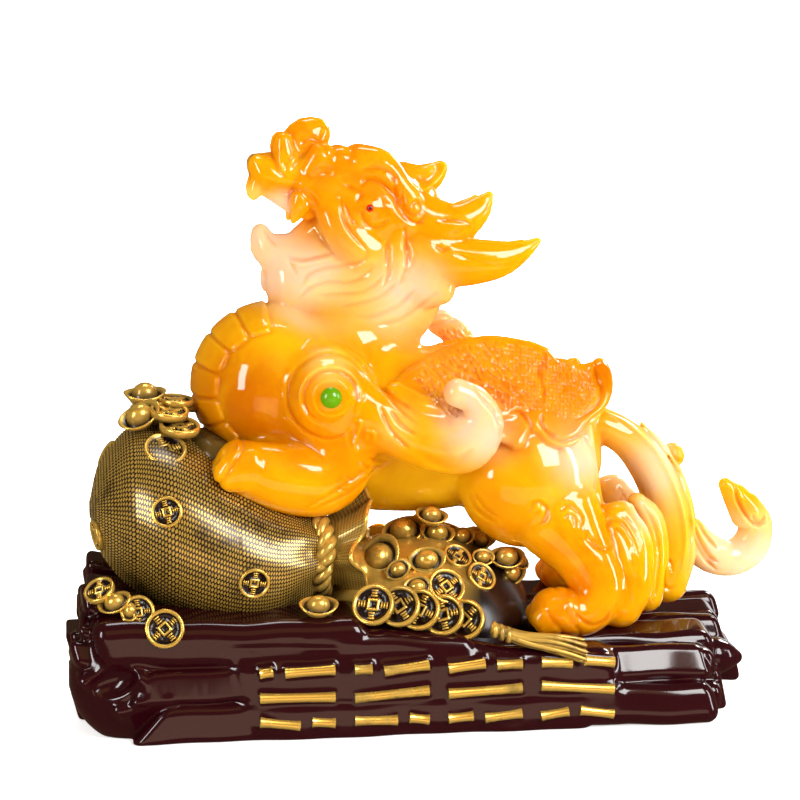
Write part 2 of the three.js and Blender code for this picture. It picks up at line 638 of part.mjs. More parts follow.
const materials = {
  jade: new THREE.MeshStandardMaterial({ color: 0xf5a40c, roughness: 0.12, metalness: 0 }),
  lacquer: new THREE.MeshStandardMaterial({ color: 0x2a0a0e, roughness: 0.2, metalness: 0 }),
  green: new THREE.MeshStandardMaterial({ color: 0x6f9e14, roughness: 0.1, metalness: 0 }),
  red: new THREE.MeshStandardMaterial({ color: 0x8c1408, roughness: 0.1, metalness: 0 }),
};

const group = new THREE.Group();
function addPiece(name, geometry, material) {
  const mesh = new THREE.Mesh(geometry, material);
  mesh.name = name;
  group.add(mesh);
  return mesh;
}

addPiece('treasure_base', geometryOf(treasureBase), materials.lacquer);
addPiece('pixiu', geometryOf(carved), materials.jade);
for (const [name, centre, radius] of beads) {
  const ball = new THREE.SphereGeometry(radius, 8, 4);
  const bead = addPiece(name, ball, name.startsWith('eye') ? materials.red : materials.green);
  bead.position.copy(centre);
}

export default group;
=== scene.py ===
# %% [markdown]
# # A pixiu on its treasure base
# The real object is cast in two resins: a glossy, half translucent amber one for the animal, which
# imitates jade, and a dark one for the rocky base, whose sack, coins and ingots are rubbed with gold.
# This lesson builds its looks around a solid model that is already packed, and starts by loading it.

import math

import bmesh
import bpy
import numpy as np
import openvdb
from mathutils import Matrix, Vector


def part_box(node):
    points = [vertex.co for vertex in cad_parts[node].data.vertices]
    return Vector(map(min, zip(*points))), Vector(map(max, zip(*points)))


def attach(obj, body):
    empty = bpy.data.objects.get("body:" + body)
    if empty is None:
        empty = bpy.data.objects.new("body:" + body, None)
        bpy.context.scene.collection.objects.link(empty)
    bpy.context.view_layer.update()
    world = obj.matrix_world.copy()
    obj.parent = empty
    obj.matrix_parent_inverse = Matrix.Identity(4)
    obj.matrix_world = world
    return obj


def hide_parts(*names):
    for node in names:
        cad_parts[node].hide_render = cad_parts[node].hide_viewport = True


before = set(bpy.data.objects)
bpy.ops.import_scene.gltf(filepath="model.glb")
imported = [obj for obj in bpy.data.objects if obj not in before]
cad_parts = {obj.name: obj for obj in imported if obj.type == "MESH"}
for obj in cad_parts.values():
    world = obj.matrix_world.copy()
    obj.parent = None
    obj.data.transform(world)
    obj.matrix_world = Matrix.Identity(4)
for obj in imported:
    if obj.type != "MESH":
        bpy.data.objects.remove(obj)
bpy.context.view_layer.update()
MM = 0.001
print("solids:", sorted(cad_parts))

# %% [markdown]
# ## Pieces of the scene
# A finished piece is a mesh whose points already lie in their places, so its object stays unmoved at
# the origin. Each one takes the place of a solid, whose mesh is hidden. Modifiers could be
# left live, but a plain mesh looks the same in every program, so they are always worked in.


# %% Helpers for a piece
def new_piece(name, mesh):
    """A mesh as an object of the scene, at the origin."""
    piece = bpy.data.objects.new(name, mesh)
    bpy.context.scene.collection.objects.link(piece)
    return piece


def dress(piece, node):
    """Fixes a piece to the body, in the place of a solid, whose mesh it hides."""
    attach(piece, "root")
    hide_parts(node)


def work_in(piece):
    """Turns a piece's modifiers into its plain mesh."""
    shown = piece.evaluated_get(bpy.context.evaluated_depsgraph_get())
    plain = bpy.data.meshes.new_from_object(shown)
    piece.modifiers.clear()
    piece.data = plain
    plain.name = piece.name


def store(mesh, name, values):
    """Stores a number at every point of a mesh."""
    mesh.attributes.new(name, "FLOAT", "POINT").data.foreach_set("value", values)


# %% [markdown]
# ## Clay in a block of voxels
# A carved animal has no simple rule, so it could be pushed about as a subdivision mesh, or built up as
# a sculptor does: lumps of clay that melt together, then cuts with a tool. The second is chosen,
# because every lump and cut stays a short line with real sizes. Each voxel of the block holds its
# distance to the surface in millimetres, negative inside, so joining two lumps is a soft minimum.


# %% The block of clay
class Clay:
    """A block of voxels, each with its distance to the surface in millimetres."""

    def __init__(self, low, high, grain):
        self.low = np.array(low, np.float32)
        self.grain = grain
        self.count = np.ceil((np.array(high) - self.low) / grain).astype(int) + 1
        self.field = np.full(self.count, 50, np.float32)

    def patch(self, low, high):
        """The part of the block between two corners, with its three rows of coordinates."""
        first = np.floor((np.array(low) - self.low) / self.grain).astype(int)
        last = np.ceil((np.array(high) - self.low) / self.grain).astype(int) + 1
        first, last = np.clip(first, 0, self.count - 1), np.clip(last, 1, self.count)
        rows = [
            self.low[i] + self.grain * np.arange(first[i], last[i], dtype=np.float32)
            for i in range(3)
        ]
        return tuple(slice(a, b) for a, b in zip(first, last)), rows

    def add(self, lump, blend=3):
        """Joins a lump, with a fillet about as wide as blend."""
        place, distance = lump
        self.field[place] = soft_least(self.field[place], distance, blend)

    def cut(self, lump, blend=1):
        """Takes a lump's shape away."""
        place, distance = lump
        self.field[place] = -soft_least(-self.field[place], distance, blend)

    def soften(self):
        """Rounds the finest steps, as polishing does."""
        for axis in range(3):
            before = np.roll(self.field, 1, axis)
            after = np.roll(self.field, -1, axis)
            self.field = (before + 2 * self.field + after) / 4


def soft_least(a, b, blend):
    """The smaller of two distances, melted together where they differ by less than blend."""
    mix = np.clip(0.5 + 0.5 * (a - b) / blend, 0, 1)
    return a + (b - a) * mix - blend * mix * (1 - mix)


# %% [markdown]
# ## Limbs and eggs
# Nearly every form of the animal is long: a leg, a lock of hair, a lip. A table of points with two
# radii each, one seen from the side and one across, is swept into a smooth limb. Single lumps are
# eggs. The tables are in millimetres, x along the animal, y away from the viewer, z up.


# %% Sweep a limb, lay an egg
def smooth_rows(rows, spacing):
    """A smooth curve through the rows of a table, as rows at most about spacing apart."""
    rows = np.array([list(row) + [row[-1]] * (5 - len(row)) for row in rows], float)
    rows = np.vstack([2 * rows[0] - rows[1], rows, 2 * rows[-1] - rows[-2]])
    pieces = []
    for before, start, end, after in zip(rows, rows[1:], rows[2:], rows[3:]):
        steps = max(2, math.ceil(np.linalg.norm((end - start)[:3]) / spacing))
        t = np.arange(steps)[:, None] / steps
        pieces.append(
            start
            + (end - before) * t / 2
            + (before - 2.5 * start + 2 * end - after / 2) * t**2
            + (1.5 * (start - end) + (after - before) / 2) * t**3
        )
    return np.vstack(pieces + [rows[-2:-1]])


def limb(clay, rows, margin=8, spacing=4.0):
    """The distance to a limb that follows a table's rows."""
    rows = smooth_rows(rows, spacing)
    centre, radius = rows[:, :3], np.maximum(rows[:, 3:], 0.5)
    reach = radius.max(1) + margin
    place, axes = clay.patch(
        (centre - reach[:, None]).min(0), (centre + reach[:, None]).max(0)
    )
    distance = np.full([len(a) for a in axes], 50, np.float32)
    for start, end, radii, next_radii, room in zip(
        centre, centre[1:], radius, radius[1:], np.maximum(reach, np.roll(reach, -1))
    ):
        inner = tuple(
            slice(*np.searchsorted(a, (min(s, e) - room, max(s, e) + room)))
            for a, s, e in zip(axes, start, end)
        )
        length = np.linalg.norm(end - start)
        along = (end - start) / length
        across = np.array([0, 1, 0]) - along[1] * along
        across /= np.linalg.norm(across)
        up = np.cross(across, along)
        x, y, z = (
            shaped(a[s] - p, i)
            for i, (a, s, p) in enumerate(zip(axes, inner, start))
        )
        share = (x * along[0] + y * along[1] + z * along[2]).astype(np.float32) / length
        held = np.clip(share, 0, 1)
        side = radii[0] + (next_radii[0] - radii[0]) * held
        wide = radii[1] + (next_radii[1] - radii[1]) * held
        offsets = (
            (share - held) * length / np.minimum(side, wide),
            (x * up[0] + y * up[1] + z * up[2]) / side,
            (x * across[0] + y * across[1] + z * across[2]) / wide,
        )
        distance[inner] = np.minimum(
            distance[inner],
            egg_distance(offsets, (np.minimum(side, wide), side, wide)),
        )
    return place, distance


def shaped(row, axis):
    """A row of coordinates turned so that three of them span a block."""
    return row.astype(np.float32).reshape([-1 if i == axis else 1 for i in range(3)])


def egg_distance(offsets, radii):
    """The distance to an egg, from offsets that are already shares of its radii."""
    size = np.sqrt(sum(o * o for o in offsets)) + 1e-6
    slope = np.sqrt(sum((o / r) ** 2 for o, r in zip(offsets, radii))) + 1e-6
    return (size * (size - 1) / slope).astype(np.float32)


def egg(clay, centre, radii, lean=0, margin=8):
    """The distance to an egg, leaned by an angle in the side view."""
    reach = max(radii) + margin
    place, axes = clay.patch(np.array(centre) - reach, np.array(centre) + reach)
    x, y, z = (shaped(a - c, i) for i, (a, c) in enumerate(zip(axes, centre)))
    turn = math.radians(lean)
    long = x * math.cos(turn) + z * math.sin(turn)
    high = z * math.cos(turn) - x * math.sin(turn)
    offsets = (long / radii[0], y / radii[1], high / radii[2])
    return place, egg_distance(offsets, radii)


def far_side(rows, shift=0, lift=0):
    """The same limb on the far flank. Its end is moved by shift and lift, its root by half of that."""
    moved = []
    for i, row in enumerate(rows):
        share = 0.5 + 0.5 * i / max(1, len(rows) - 1)
        moved.append([row[0] + shift * share, -row[1], row[2] + lift * share, *row[3:]])
    return moved


# %% [markdown]
# ## The animal's body
# The trunk leans up to a deep chest, the back runs to the rump, and the neck rises into the head. One
# long limb could be bent through all three, but three that melt together are easier to correct.

# %% Trunk, back and neck
ANIMAL_GRAIN = 0.7
animal = Clay((-128, -72, 38), (210, 74, 318), ANIMAL_GRAIN)

TRUNK = [
    [-74.6, 0, 171.5, 43, 42],
    [-50, 0, 160, 47, 43],
    [-24, 0, 148, 45, 39],
    [4, 0, 140.5, 39.5, 37],
    [30, 0, 139, 36, 36],
    [56, 0, 131, 36, 36],
    [76, 0, 128, 29, 28],
]
BACK = [[-22, 0, 167, 20, 25], [28, 0, 171, 19, 22], [66, 0, 163, 18, 19], [88, 0, 152, 13, 16]]
NECK = [[-42, 0, 178, 31, 29], [-26, 0, 201, 27, 23], [-14, 0, 221, 31, 23], [-14, 0, 240, 26, 21]]
for table, blend in ((TRUNK, 3), (BACK, 8), (NECK, 8)):
    animal.add(limb(animal, table), blend)
print("clay block of", animal.field.size // 1000, "thousand voxels")

# %% [markdown]
# ## The head
# It looks up with an open mouth: the skull ends in a blunt snout with a rolled flame on top, the jaw
# in an upturned chin, and the mouth is a hollow cut between them. Fangs, teeth, a lip curl, brows,
# ears, a crest that sweeps back in horns and locks of mane are all limbs of their own, because each
# has a tip that must stay sharp while its root melts into the skull.

# %% Skull, jaw and mouth
SKULL = [
    [6, 0, 256, 14, 14],
    [-8, 0, 259, 26, 22],
    [-28, 0, 264, 25, 22],
    [-46, 0, 276, 16, 16.5],
    [-66, 0, 281.5, 12.5, 13.5],
    [-80, 0, 286, 7, 9],
]
JAW = [
    [-8, 0, 238, 21, 20],
    [-32, 0, 235, 18, 18],
    [-54, 0, 238, 14, 15],
    [-70, 0, 240, 10.5, 12],
    [-77.5, 0, 244, 8, 10],
    [-80, 0, 251, 5, 7],
]
THROAT = [
    [-14, 0, 216, 26, 21],
    [-42, 0, 221, 22, 18],
    [-60, 0, 226, 19, 15],
    [-68, 0, 224.5, 15, 11],
]
MOUTH = [-57, 0, 255]
MOUTH_RADII = [10, 17, 8]
animal.add(limb(animal, SKULL), 5)
animal.add(limb(animal, JAW), 4)
animal.add(limb(animal, THROAT), 4)
CHEEK_WEB = [[-56, 0, 246, 10, 9], [-44, 0, 254, 12, 12]]
animal.cut(egg(animal, MOUTH, MOUTH_RADII), 2)
animal.add(limb(animal, CHEEK_WEB), 3)
print("skull, jaw and mouth are laid on")

# %% Snout, teeth and lips
NOSE_FLAME = [
    [-62, 0, 286, 12, 10],
    [-58.5, 0, 296, 12, 9],
    [-53.5, 0, 301.5, 11, 8],
    [-49, 0, 304, 7.5, 6],
]
NOSTRIL = [[-65, -8, 284, 8, 6], [-68, -8, 293, 6.5, 5.5], [-68.5, -8, 299, 5, 5]]
SNOUT_LIP = [[-66, -6, 279, 8, 8], [-76, -7, 282, 8.5, 8], [-82, -7, 288, 4.5, 6]]
NOSE_WING = [[-54, -11, 284, 7, 6], [-49.5, -12, 291, 7, 6], [-49, -11, 294, 6, 5]]
FANG = [[-79, -8, 283, 5, 4], [-83, -8, 274, 4.4, 3.4], [-84.3, -8, 269.5, 1.4, 1.4]]
UPPER_TEETH = [[-76, -7, 274, 4.5, 4], [-64, -9, 266, 4.5, 4], [-56, -9, 262, 4, 4]]
LIP_CURL = [[-57, -13, 276, 7, 5.5], [-60, -14, 267, 6, 4.5], [-64, -14, 258, 1.6, 2]]
PAIRED = (
    (NOSTRIL, 1.5),
    (SNOUT_LIP, 2.5),
    (NOSE_WING, 2),
    (FANG, 1),
    (UPPER_TEETH, 1),
    (LIP_CURL, 1.5),
)
animal.add(limb(animal, NOSE_FLAME), 2.5)
for table, blend in PAIRED:
    animal.add(limb(animal, table), blend)
    animal.add(limb(animal, far_side(table)), blend)

# %% Eyes, brows, cheeks and ears
BROW = [[-44, -8, 286, 9, 8], [-38, -8, 288.5, 8.5, 8]]
BROW_RIDGE = [[-28, -9, 286, 11.5, 9], [-18, -13, 284, 10.5, 8], [-7, -16, 275, 6, 6]]
CHEEK = [[-44, -13, 266, 9, 7], [-37, -15, 252, 11, 8], [-25, -16, 240, 10, 7]]
EYEBALL = [-25, -16, 265]
EYEBALL_RADII = [9, 8, 8]
EAR = [[-8, -17, 276, 5, 4], [-3, -18.5, 268, 6.5, 4.5], [-1, -19.5, 260.5, 5, 4]]
MUZZLE = [[-50, -12, 273, 9, 7], [-45, -13, 271, 9, 7]]
JAW_FOLD = [[-10, -17, 250, 5, 5], [-9.5, -18.5, 238, 6, 5], [-14, -17, 226, 4, 4]]
for table, blend in (
    (BROW, 3),
    (BROW_RIDGE, 2),
    (CHEEK, 3),
    (EAR, 1.2),
    (MUZZLE, 3),
    (JAW_FOLD, 2),
):
    animal.add(limb(animal, table), blend)
    animal.add(limb(animal, far_side(table)), blend)
for side in (1, -1):
    centre = [EYEBALL[0], EYEBALL[1] * side, EYEBALL[2]]
    animal.add(egg(animal, centre, EYEBALL_RADII), 1.5)
print("the face is laid on")

# %% Crest horns and mane
CREST = [[-8, 0, 276, 13, 11], [3, 0, 277.5, 9, 9], [11, 0, 280.5, 7, 6], [15.5, 0, 284.5, 4.2, 4]]
MANE = [
    [
        [-2, -10, 258, 16, 12],
        [14, -12, 254, 14, 10],
        [26, -13, 257.5, 10, 8],
        [35, -13, 264.5, 6.5, 5],
        [39.5, -12.5, 270.5, 2.5, 2.5],
    ],
    [
        [2, -12, 240, 17, 12],
        [23, -14, 236, 13.5, 10],
        [44, -15, 237, 10, 8],
        [57, -15, 241.5, 5.5, 5],
        [65.5, -14.5, 246.5, 2, 2],
    ],
    [[-6, -12, 228, 16, 12], [7, -15, 224, 13, 9], [14, -15, 221, 8, 7]],
]
animal.add(limb(animal, CREST), 2)
for lock in MANE:
    animal.add(limb(animal, lock), 2)
    animal.add(limb(animal, far_side(lock, -3, -3)), 2)
print("the head is laid on")

# %% [markdown]
# ## Legs, shoulders and haunches
# The fore paws stand on the sack and the hind ones on the rock. The far legs stand a little behind
# the near ones, as in life, so each far limb is the near one mirrored and moved. A flame curls back
# from each shoulder over the ribs.

# %% Fore legs and shoulder flames
FAR_FORELEG_SHIFT = 12
FAR_HIND_SHIFT = 26
SHOULDER = [-49.1, -30, 170.5]
SHOULDER_RADIUS = 26
SHOULDER_FLAME = [
    [-40, -44, 170, 13, 10],
    [-13.3, -47, 151.8, 13.5, 12],
    [11, -50, 143.5, 14.5, 12],
    [22.5, -52, 146.5, 15.2, 11],
    [29, -54.5, 156, 11.5, 9],
    [25, -56, 167.5, 8, 7],
    [15, -57, 172.5, 7.4, 6.5],
]
FORELEG = [
    [-48, -34, 162, 21, 16],
    [-43, -40, 138, 18, 15],
    [-52, -43, 126, 18, 14.5],
    [-70, -45, 127.5, 18, 14],
    [-94.5, -45, 134, 14.5, 13],
]
for side in (1, -1):
    centre = [SHOULDER[0], SHOULDER[1] * side, SHOULDER[2]]
    animal.add(egg(animal, centre, [SHOULDER_RADIUS] * 3), 4)
animal.add(limb(animal, SHOULDER_FLAME), 2)
animal.add(limb(animal, far_side(SHOULDER_FLAME, 9, 24)), 2)
animal.add(limb(animal, FORELEG), 10)
animal.add(limb(animal, far_side(FORELEG, FAR_FORELEG_SHIFT)), 10)

# %% Haunches and hind legs
HAUNCH = [58, -28, 122]
HAUNCH_RADII = [37, 27, 37]
HIND_LEG = [
    [72, -42, 103, 24, 14],
    [85, -46, 84, 17, 14],
    [92, -49, 66, 15, 14],
    [84, -51, 55, 13.5, 14],
    [68, -53, 55.5, 12.5, 13.5],
]
FETLOCK = [
    [102, -38, 100, 14, 9],
    [108, -42, 86, 15, 11],
    [107, -45, 68, 16, 12],
    [104, -46, 56, 13, 12],
]
RUMP_STRAND = [[88, -28, 158, 4, 4], [92, -30, 128, 3.4, 4], [95, -33, 104, 4, 4]]
for side, shift in ((1, 0), (-1, FAR_HIND_SHIFT / 3)):
    centre = [HAUNCH[0] + shift, HAUNCH[1] * side, HAUNCH[2]]
    animal.add(egg(animal, centre, HAUNCH_RADII), 4)
for table, shift in ((HIND_LEG, FAR_HIND_SHIFT), (FETLOCK, FAR_HIND_SHIFT), (RUMP_STRAND, 0)):
    animal.add(limb(animal, table), 3)
    animal.add(limb(animal, far_side(table, shift)), 3)

# %% Toes
TOE_REACH = 8
TOE_PITCH = 8.2
for paw in (FORELEG, HIND_LEG):
    x, y, z, side_radius, _ = paw[-1]
    for toe in (-1, 0, 1):
        tip = [
            [x + 6, y + toe * TOE_PITCH, z, side_radius * 0.8, 6],
            [x - 2, y + toe * TOE_PITCH, z - 1, side_radius * 0.75, 6],
            [x - TOE_REACH, y + toe * TOE_PITCH, z - 4, side_radius * 0.55, 5],
        ]
        shift = FAR_FORELEG_SHIFT if paw is FORELEG else FAR_HIND_SHIFT
        moved = [[row[0] + shift, -row[1], *row[2:]] for row in tip]
        animal.add(limb(animal, tip), 1.2)
        animal.add(limb(animal, moved), 1.2)
print("legs and paws are laid on")

# %% [markdown]
# ## The tail
# It falls from the rump behind the hind legs and forks: one strand lies down along the fetlock, the
# other swings out in a hook that ends in a scaly bud. A nub stands out of its back, and a lock of hair
# fills the gap between the tail and the leg. Each is a limb, because all of them melt at their roots.

# %% Tail
TAIL = [
    [
        [104, 0, 146, 9, 12],
        [122, 0, 136, 11.5, 13],
        [136, 0, 117, 13, 13],
        [143, -1, 96, 13.5, 12],
        [144, -3, 76, 13.5, 12],
        [139, -5, 58, 13, 11],
    ],
    [
        [148, 3, 104, 5, 7],
        [156, 5, 85, 8, 8],
        [166, 7, 72.5, 10.5, 9],
        [180, 9, 67.5, 10, 9],
        [191.5, 10, 73.5, 10.5, 9],
        [194.5, 9, 86, 9.5, 8],
        [188, 8, 97, 8.5, 7],
    ],
    [[189, 8, 93, 9.5, 9], [182, 7, 103, 7, 7], [176, 6, 109.5, 4, 4]],
    [[138, 5, 123, 7, 6], [147, 9, 126.5, 7, 6]],
    [
        [120, -20, 106, 5, 8],
        [126.5, -20, 96, 8, 9],
        [128, -22, 78, 9, 10],
        [124, -26, 56, 9, 10],
    ],
]
for strand, blend in zip(TAIL, (4, 3, 1, 1.5, 3)):
    animal.add(limb(animal, strand), blend)
print("the tail is laid on")

# %% [markdown]
# ## The wings
# Each wing is a thick leaf that leans in over the back, a pillow between two faces. It could be a flat
# sheet with a thickness, but the cast one swells between its edges. A second, smaller leaf lies on it
# for the coverts, and a limb joins its foot to the flank.


# %% Wing leaves
def leaf_distance(clay, outline, foot, lean, thickness, edge, margin=6):
    """The distance to a leaf: a closed side-view outline, thick in the middle and rounded at its edge."""
    outline = np.array(outline, float)
    closed = smooth_rows([[x, 0, z, 1] for x, z in [*outline, outline[0]]], 3)[:, [0, 2]]
    across = [foot[0], foot[0] + lean * (outline[:, 1].max() - foot[1])]
    low = [outline[:, 0].min(), min(across) - thickness, outline[:, 1].min()]
    high = [outline[:, 0].max(), max(across) + thickness, outline[:, 1].max()]
    place, (x, y, z) = clay.patch(np.array(low) - margin, np.array(high) + margin)
    flat = outline_distance(closed, x, z)
    share = np.clip(-flat / edge, 0, 1)
    half = thickness / 2 * np.sqrt(1 - (1 - share) ** 2)
    middle = foot[0] + lean * (z - foot[1])
    depth = np.abs(y[None, :, None] - middle[None, None, :]) - half[:, None, :]
    beyond = np.maximum(flat, 0)[:, None, :]
    return place, np.where(beyond > 0, np.hypot(beyond, np.maximum(depth, 0)), depth * 0.8)


def outline_distance(points, x, z):
    """The distance in the side view to a closed line, negative inside, for every column of voxels."""
    gx, gz = np.meshgrid(x, z, indexing="ij")
    nearest = np.full(gx.shape, 1e9, np.float32)
    inside = np.zeros(gx.shape, bool)
    for (ax, az), (bx, bz) in zip(points, np.roll(points, -1, 0)):
        dx, dz = bx - ax, bz - az
        size = dx * dx + dz * dz
        if size < 1e-9:
            continue
        share = np.clip(((gx - ax) * dx + (gz - az) * dz) / size, 0, 1)
        nearest = np.minimum(nearest, np.hypot(gx - ax - share * dx, gz - az - share * dz))
        crosses = (az > gz) != (bz > gz)
        with np.errstate(divide="ignore", invalid="ignore"):
            inside ^= crosses & (gx < ax + (gz - az) * dx / dz)
    return np.where(inside, -nearest, nearest)


WING_QUILLS = [  # outline in the side view, from the root over the top to the tip and back
    (-8, 176), (12, 190), (40, 196), (66, 188), (72, 185.5), (79, 184.5), (86.5, 182),
    (92, 182.5), (98, 185), (102, 181.5), (103.5, 175), (102, 167), (98, 160), (92.5, 154.5),
    (87, 151), (83, 146), (78, 142.5), (71, 141.5), (64, 144), (59, 149), (56, 147),
    (52, 142.5), (47, 141.5), (39, 145), (10, 152),
]
WING_COVERTS = [
    (-14, 175), (-2, 184), (14, 191), (34, 197), (53, 196), (66, 192), (72, 188.5), (73, 182),
    (66, 170), (50, 158), (24, 154), (0, 158),
]
WING_ROOT = [[-16, -43, 168, 9, 7], [2, -46, 160, 9, 7], [21, -44, 160, 9, 7]]
WING_LEAN = 36 / 56
WING_FOOT = 142
FAR_WING = (-4, -5)  # the far wing sits a little further forward and lower
for side in (1, -1):
    shift, drop = (0, 0) if side == 1 else FAR_WING
    quills = [(x + shift, z + drop) for x, z in WING_QUILLS]
    coverts = [(x + shift, z + drop) for x, z in WING_COVERTS]
    foot = WING_FOOT + drop
    animal.add(leaf_distance(animal, quills, (-50 * side, foot), WING_LEAN * side, 10, 6), 2)
    animal.add(leaf_distance(animal, coverts, (-53 * side, foot), WING_LEAN * side, 9, 5), 1.5)
for root in (WING_ROOT, far_side(WING_ROOT)):
    animal.add(limb(animal, root), 3)
print("the wings are laid on")
animal.soften()

# %% [markdown]
# ## Carving
# Fur, folds and feathers are cut into the polished form, as a chisel would. Each flank gets a drawing
# in the side view, whose every point says how far the surface stands out there, and the clay's
# distance is changed by that much. A line is given by its half width, its height (a groove is
# negative) and the points it runs through, in millimetres.


# %% Drawings in the side view
class Drawing:
    """How far each point of a side view stands out, in millimetres."""

    def __init__(self, clay):
        self.clay = clay
        x, _, z = (
            clay.low[i] + clay.grain * np.arange(clay.count[i], dtype=np.float32) for i in range(3)
        )
        self.x, self.z = x[:, None], z[None, :]
        self.height = np.zeros((len(x), len(z)), np.float32)

    def line(self, width, height, points, shift=0):
        """Draws a soft line that thins out at both ends."""
        rows = smooth_rows([[x + shift, 0, z, 1] for x, z in points], 2.0)[:, [0, 2]]
        low = np.searchsorted(self.x[:, 0], rows[:, 0].min() - 3 * width)
        high = np.searchsorted(self.x[:, 0], rows[:, 0].max() + 3 * width)
        bottom = np.searchsorted(self.z[0], rows[:, 1].min() - 3 * width)
        top = np.searchsorted(self.z[0], rows[:, 1].max() + 3 * width)
        x, z = self.x[low:high], self.z[:, bottom:top]
        nearest = np.full((high - low, top - bottom), 99, np.float32)
        along = np.zeros_like(nearest)
        for i, ((ax, az), (bx, bz)) in enumerate(zip(rows, rows[1:])):
            dx, dz = bx - ax, bz - az
            share = np.clip(((x - ax) * dx + (z - az) * dz) / (dx * dx + dz * dz), 0, 1)
            away = np.hypot(x - ax - share * dx, z - az - share * dz)
            along = np.where(away < nearest, i + share, along)
            nearest = np.minimum(nearest, away)
        end = np.minimum(along, len(rows) - 1 - along) / (len(rows) - 1)
        thick = np.clip(0.35 + 4 * end, 0, 1)
        self.height[low:high, bottom:top] += height * thick * np.exp(-((nearest / width / thick) ** 2))

    def press(self, side, inner, outer=200):
        """Carves the drawing into one flank, between two distances from the middle plane."""
        used_x = np.flatnonzero(np.abs(self.height).max(1) > 0.02)
        used_z = np.flatnonzero(np.abs(self.height).max(0) > 0.02)
        y = self.clay.low[1] + self.clay.grain * np.arange(self.clay.count[1], dtype=np.float32)
        weight = np.clip((-y * side - inner) / 4 + 1, 0, 1) * np.clip((outer + y * side) / 2, 0, 1)
        rows = np.flatnonzero(weight)
        place = tuple(slice(used[0], used[-1] + 1) for used in (used_x, rows, used_z))
        pressed = self.height[place[0], place[2]][:, None, :] * weight[place[1]][None, :, None]
        self.clay.field[place] -= pressed


def arc(centre, radius, start, end):
    """Points of an arc in the side view, with its angles in degrees."""
    turns = np.radians(np.linspace(start, end, 9))
    return [(centre[0] + radius * math.cos(t), centre[1] + radius * math.sin(t)) for t in turns]


def carve(lines, inner, shift=0):
    """Carves a set of lines into the near flank, and into the far one with its shift."""
    for side, moved in ((1, 0), (-1, shift)):
        drawing = Drawing(animal)
        for width, height, points in lines.values():
            drawing.line(width, height, points, moved)
        drawing.press(side, inner)


# %% Lines of the head
SNOUT_LINES = {
    "roll under the nose flame": (1.2, -0.9, [(-60, 297), (-56, 300), (-52, 300), (-48, 297), (-45.5, 292)]),
    "nostril's curl": (1.1, -0.8, [(-74, 295), (-73.5, 288.5), (-70.5, 283), (-66.5, 281)]),
    "nostril leaf, rear": (1.0, -0.7, [(-58, 294.5), (-61, 289.5), (-65, 283.5)]),
    "nostril leaf, middle": (1.0, -0.7, [(-62, 293.5), (-66.5, 288.5), (-68, 283.5)]),
    "nostril leaf, front": (1.0, 0.7, [(-70, 295), (-71, 289.5), (-69, 284.5)]),
    "first wrinkle": (1.0, -0.3, [(-54, 284), (-50.5, 285.5), (-48, 284)]),
    "second wrinkle": (1.0, -0.3, [(-48.5, 282), (-45.5, 285), (-43, 284)]),
    "third wrinkle": (1.0, -0.3, [(-43, 281), (-41, 285.5), (-38, 285)]),
    "upper lip": (1.6, -0.9, [(-80, 279.5), (-70.5, 275.5), (-61, 275), (-55.5, 271), (-51, 265.5)]),
    "lip curl": (1.1, -0.8, [(-67, 271.5), (-64, 274), (-60, 273), (-57, 269), (-55, 263.5)]),
}
FACE_LINES = {
    "cheek, front": (1.0, -1.2, [(-39.5, 269.5), (-39, 262), (-36, 254), (-31, 248), (-26.5, 243)]),
    "cheek, rear": (1.0, -1.2, [(-38, 267.5), (-35.5, 261), (-32.5, 256.5)]),
    "inner brow": (1.4, -1.0, [(-37, 277), (-33.5, 275), (-29.5, 272.5), (-31.5, 268)]),
    "upper lid": (1.3, -1.3, [(-29, 276), (-26, 279), (-21, 279), (-16, 275.5), (-12, 270), (-10, 263.5)]),
    "lower lid": (1.3, -1.2, [(-29.5, 263), (-27.5, 258), (-24, 255), (-19, 255.5), (-15, 259)]),
    "brow's edge": (1.6, -1.3, [(-28.5, 284.5), (-21, 285.5), (-14, 282.5), (-10.5, 277.5)]),
    "ear's edge": (1.4, -1.3, [(-12, 280), (-11, 271.5), (-8, 262.5), (-2.5, 257.5), (2, 257.5), (4, 262.5)]),
    "ear's curl": (
        1.0,
        -1.1,
        [(-7.5, 274), (-8, 267.5), (-5, 262.5), (-0.5, 261), (2.5, 264), (0.5, 268), (-3, 267), (-2, 264.5)],
    ),
    "temple": (1.2, -0.8, [(-6.5, 255.5), (-6, 248), (-6.5, 241.5)]),
}
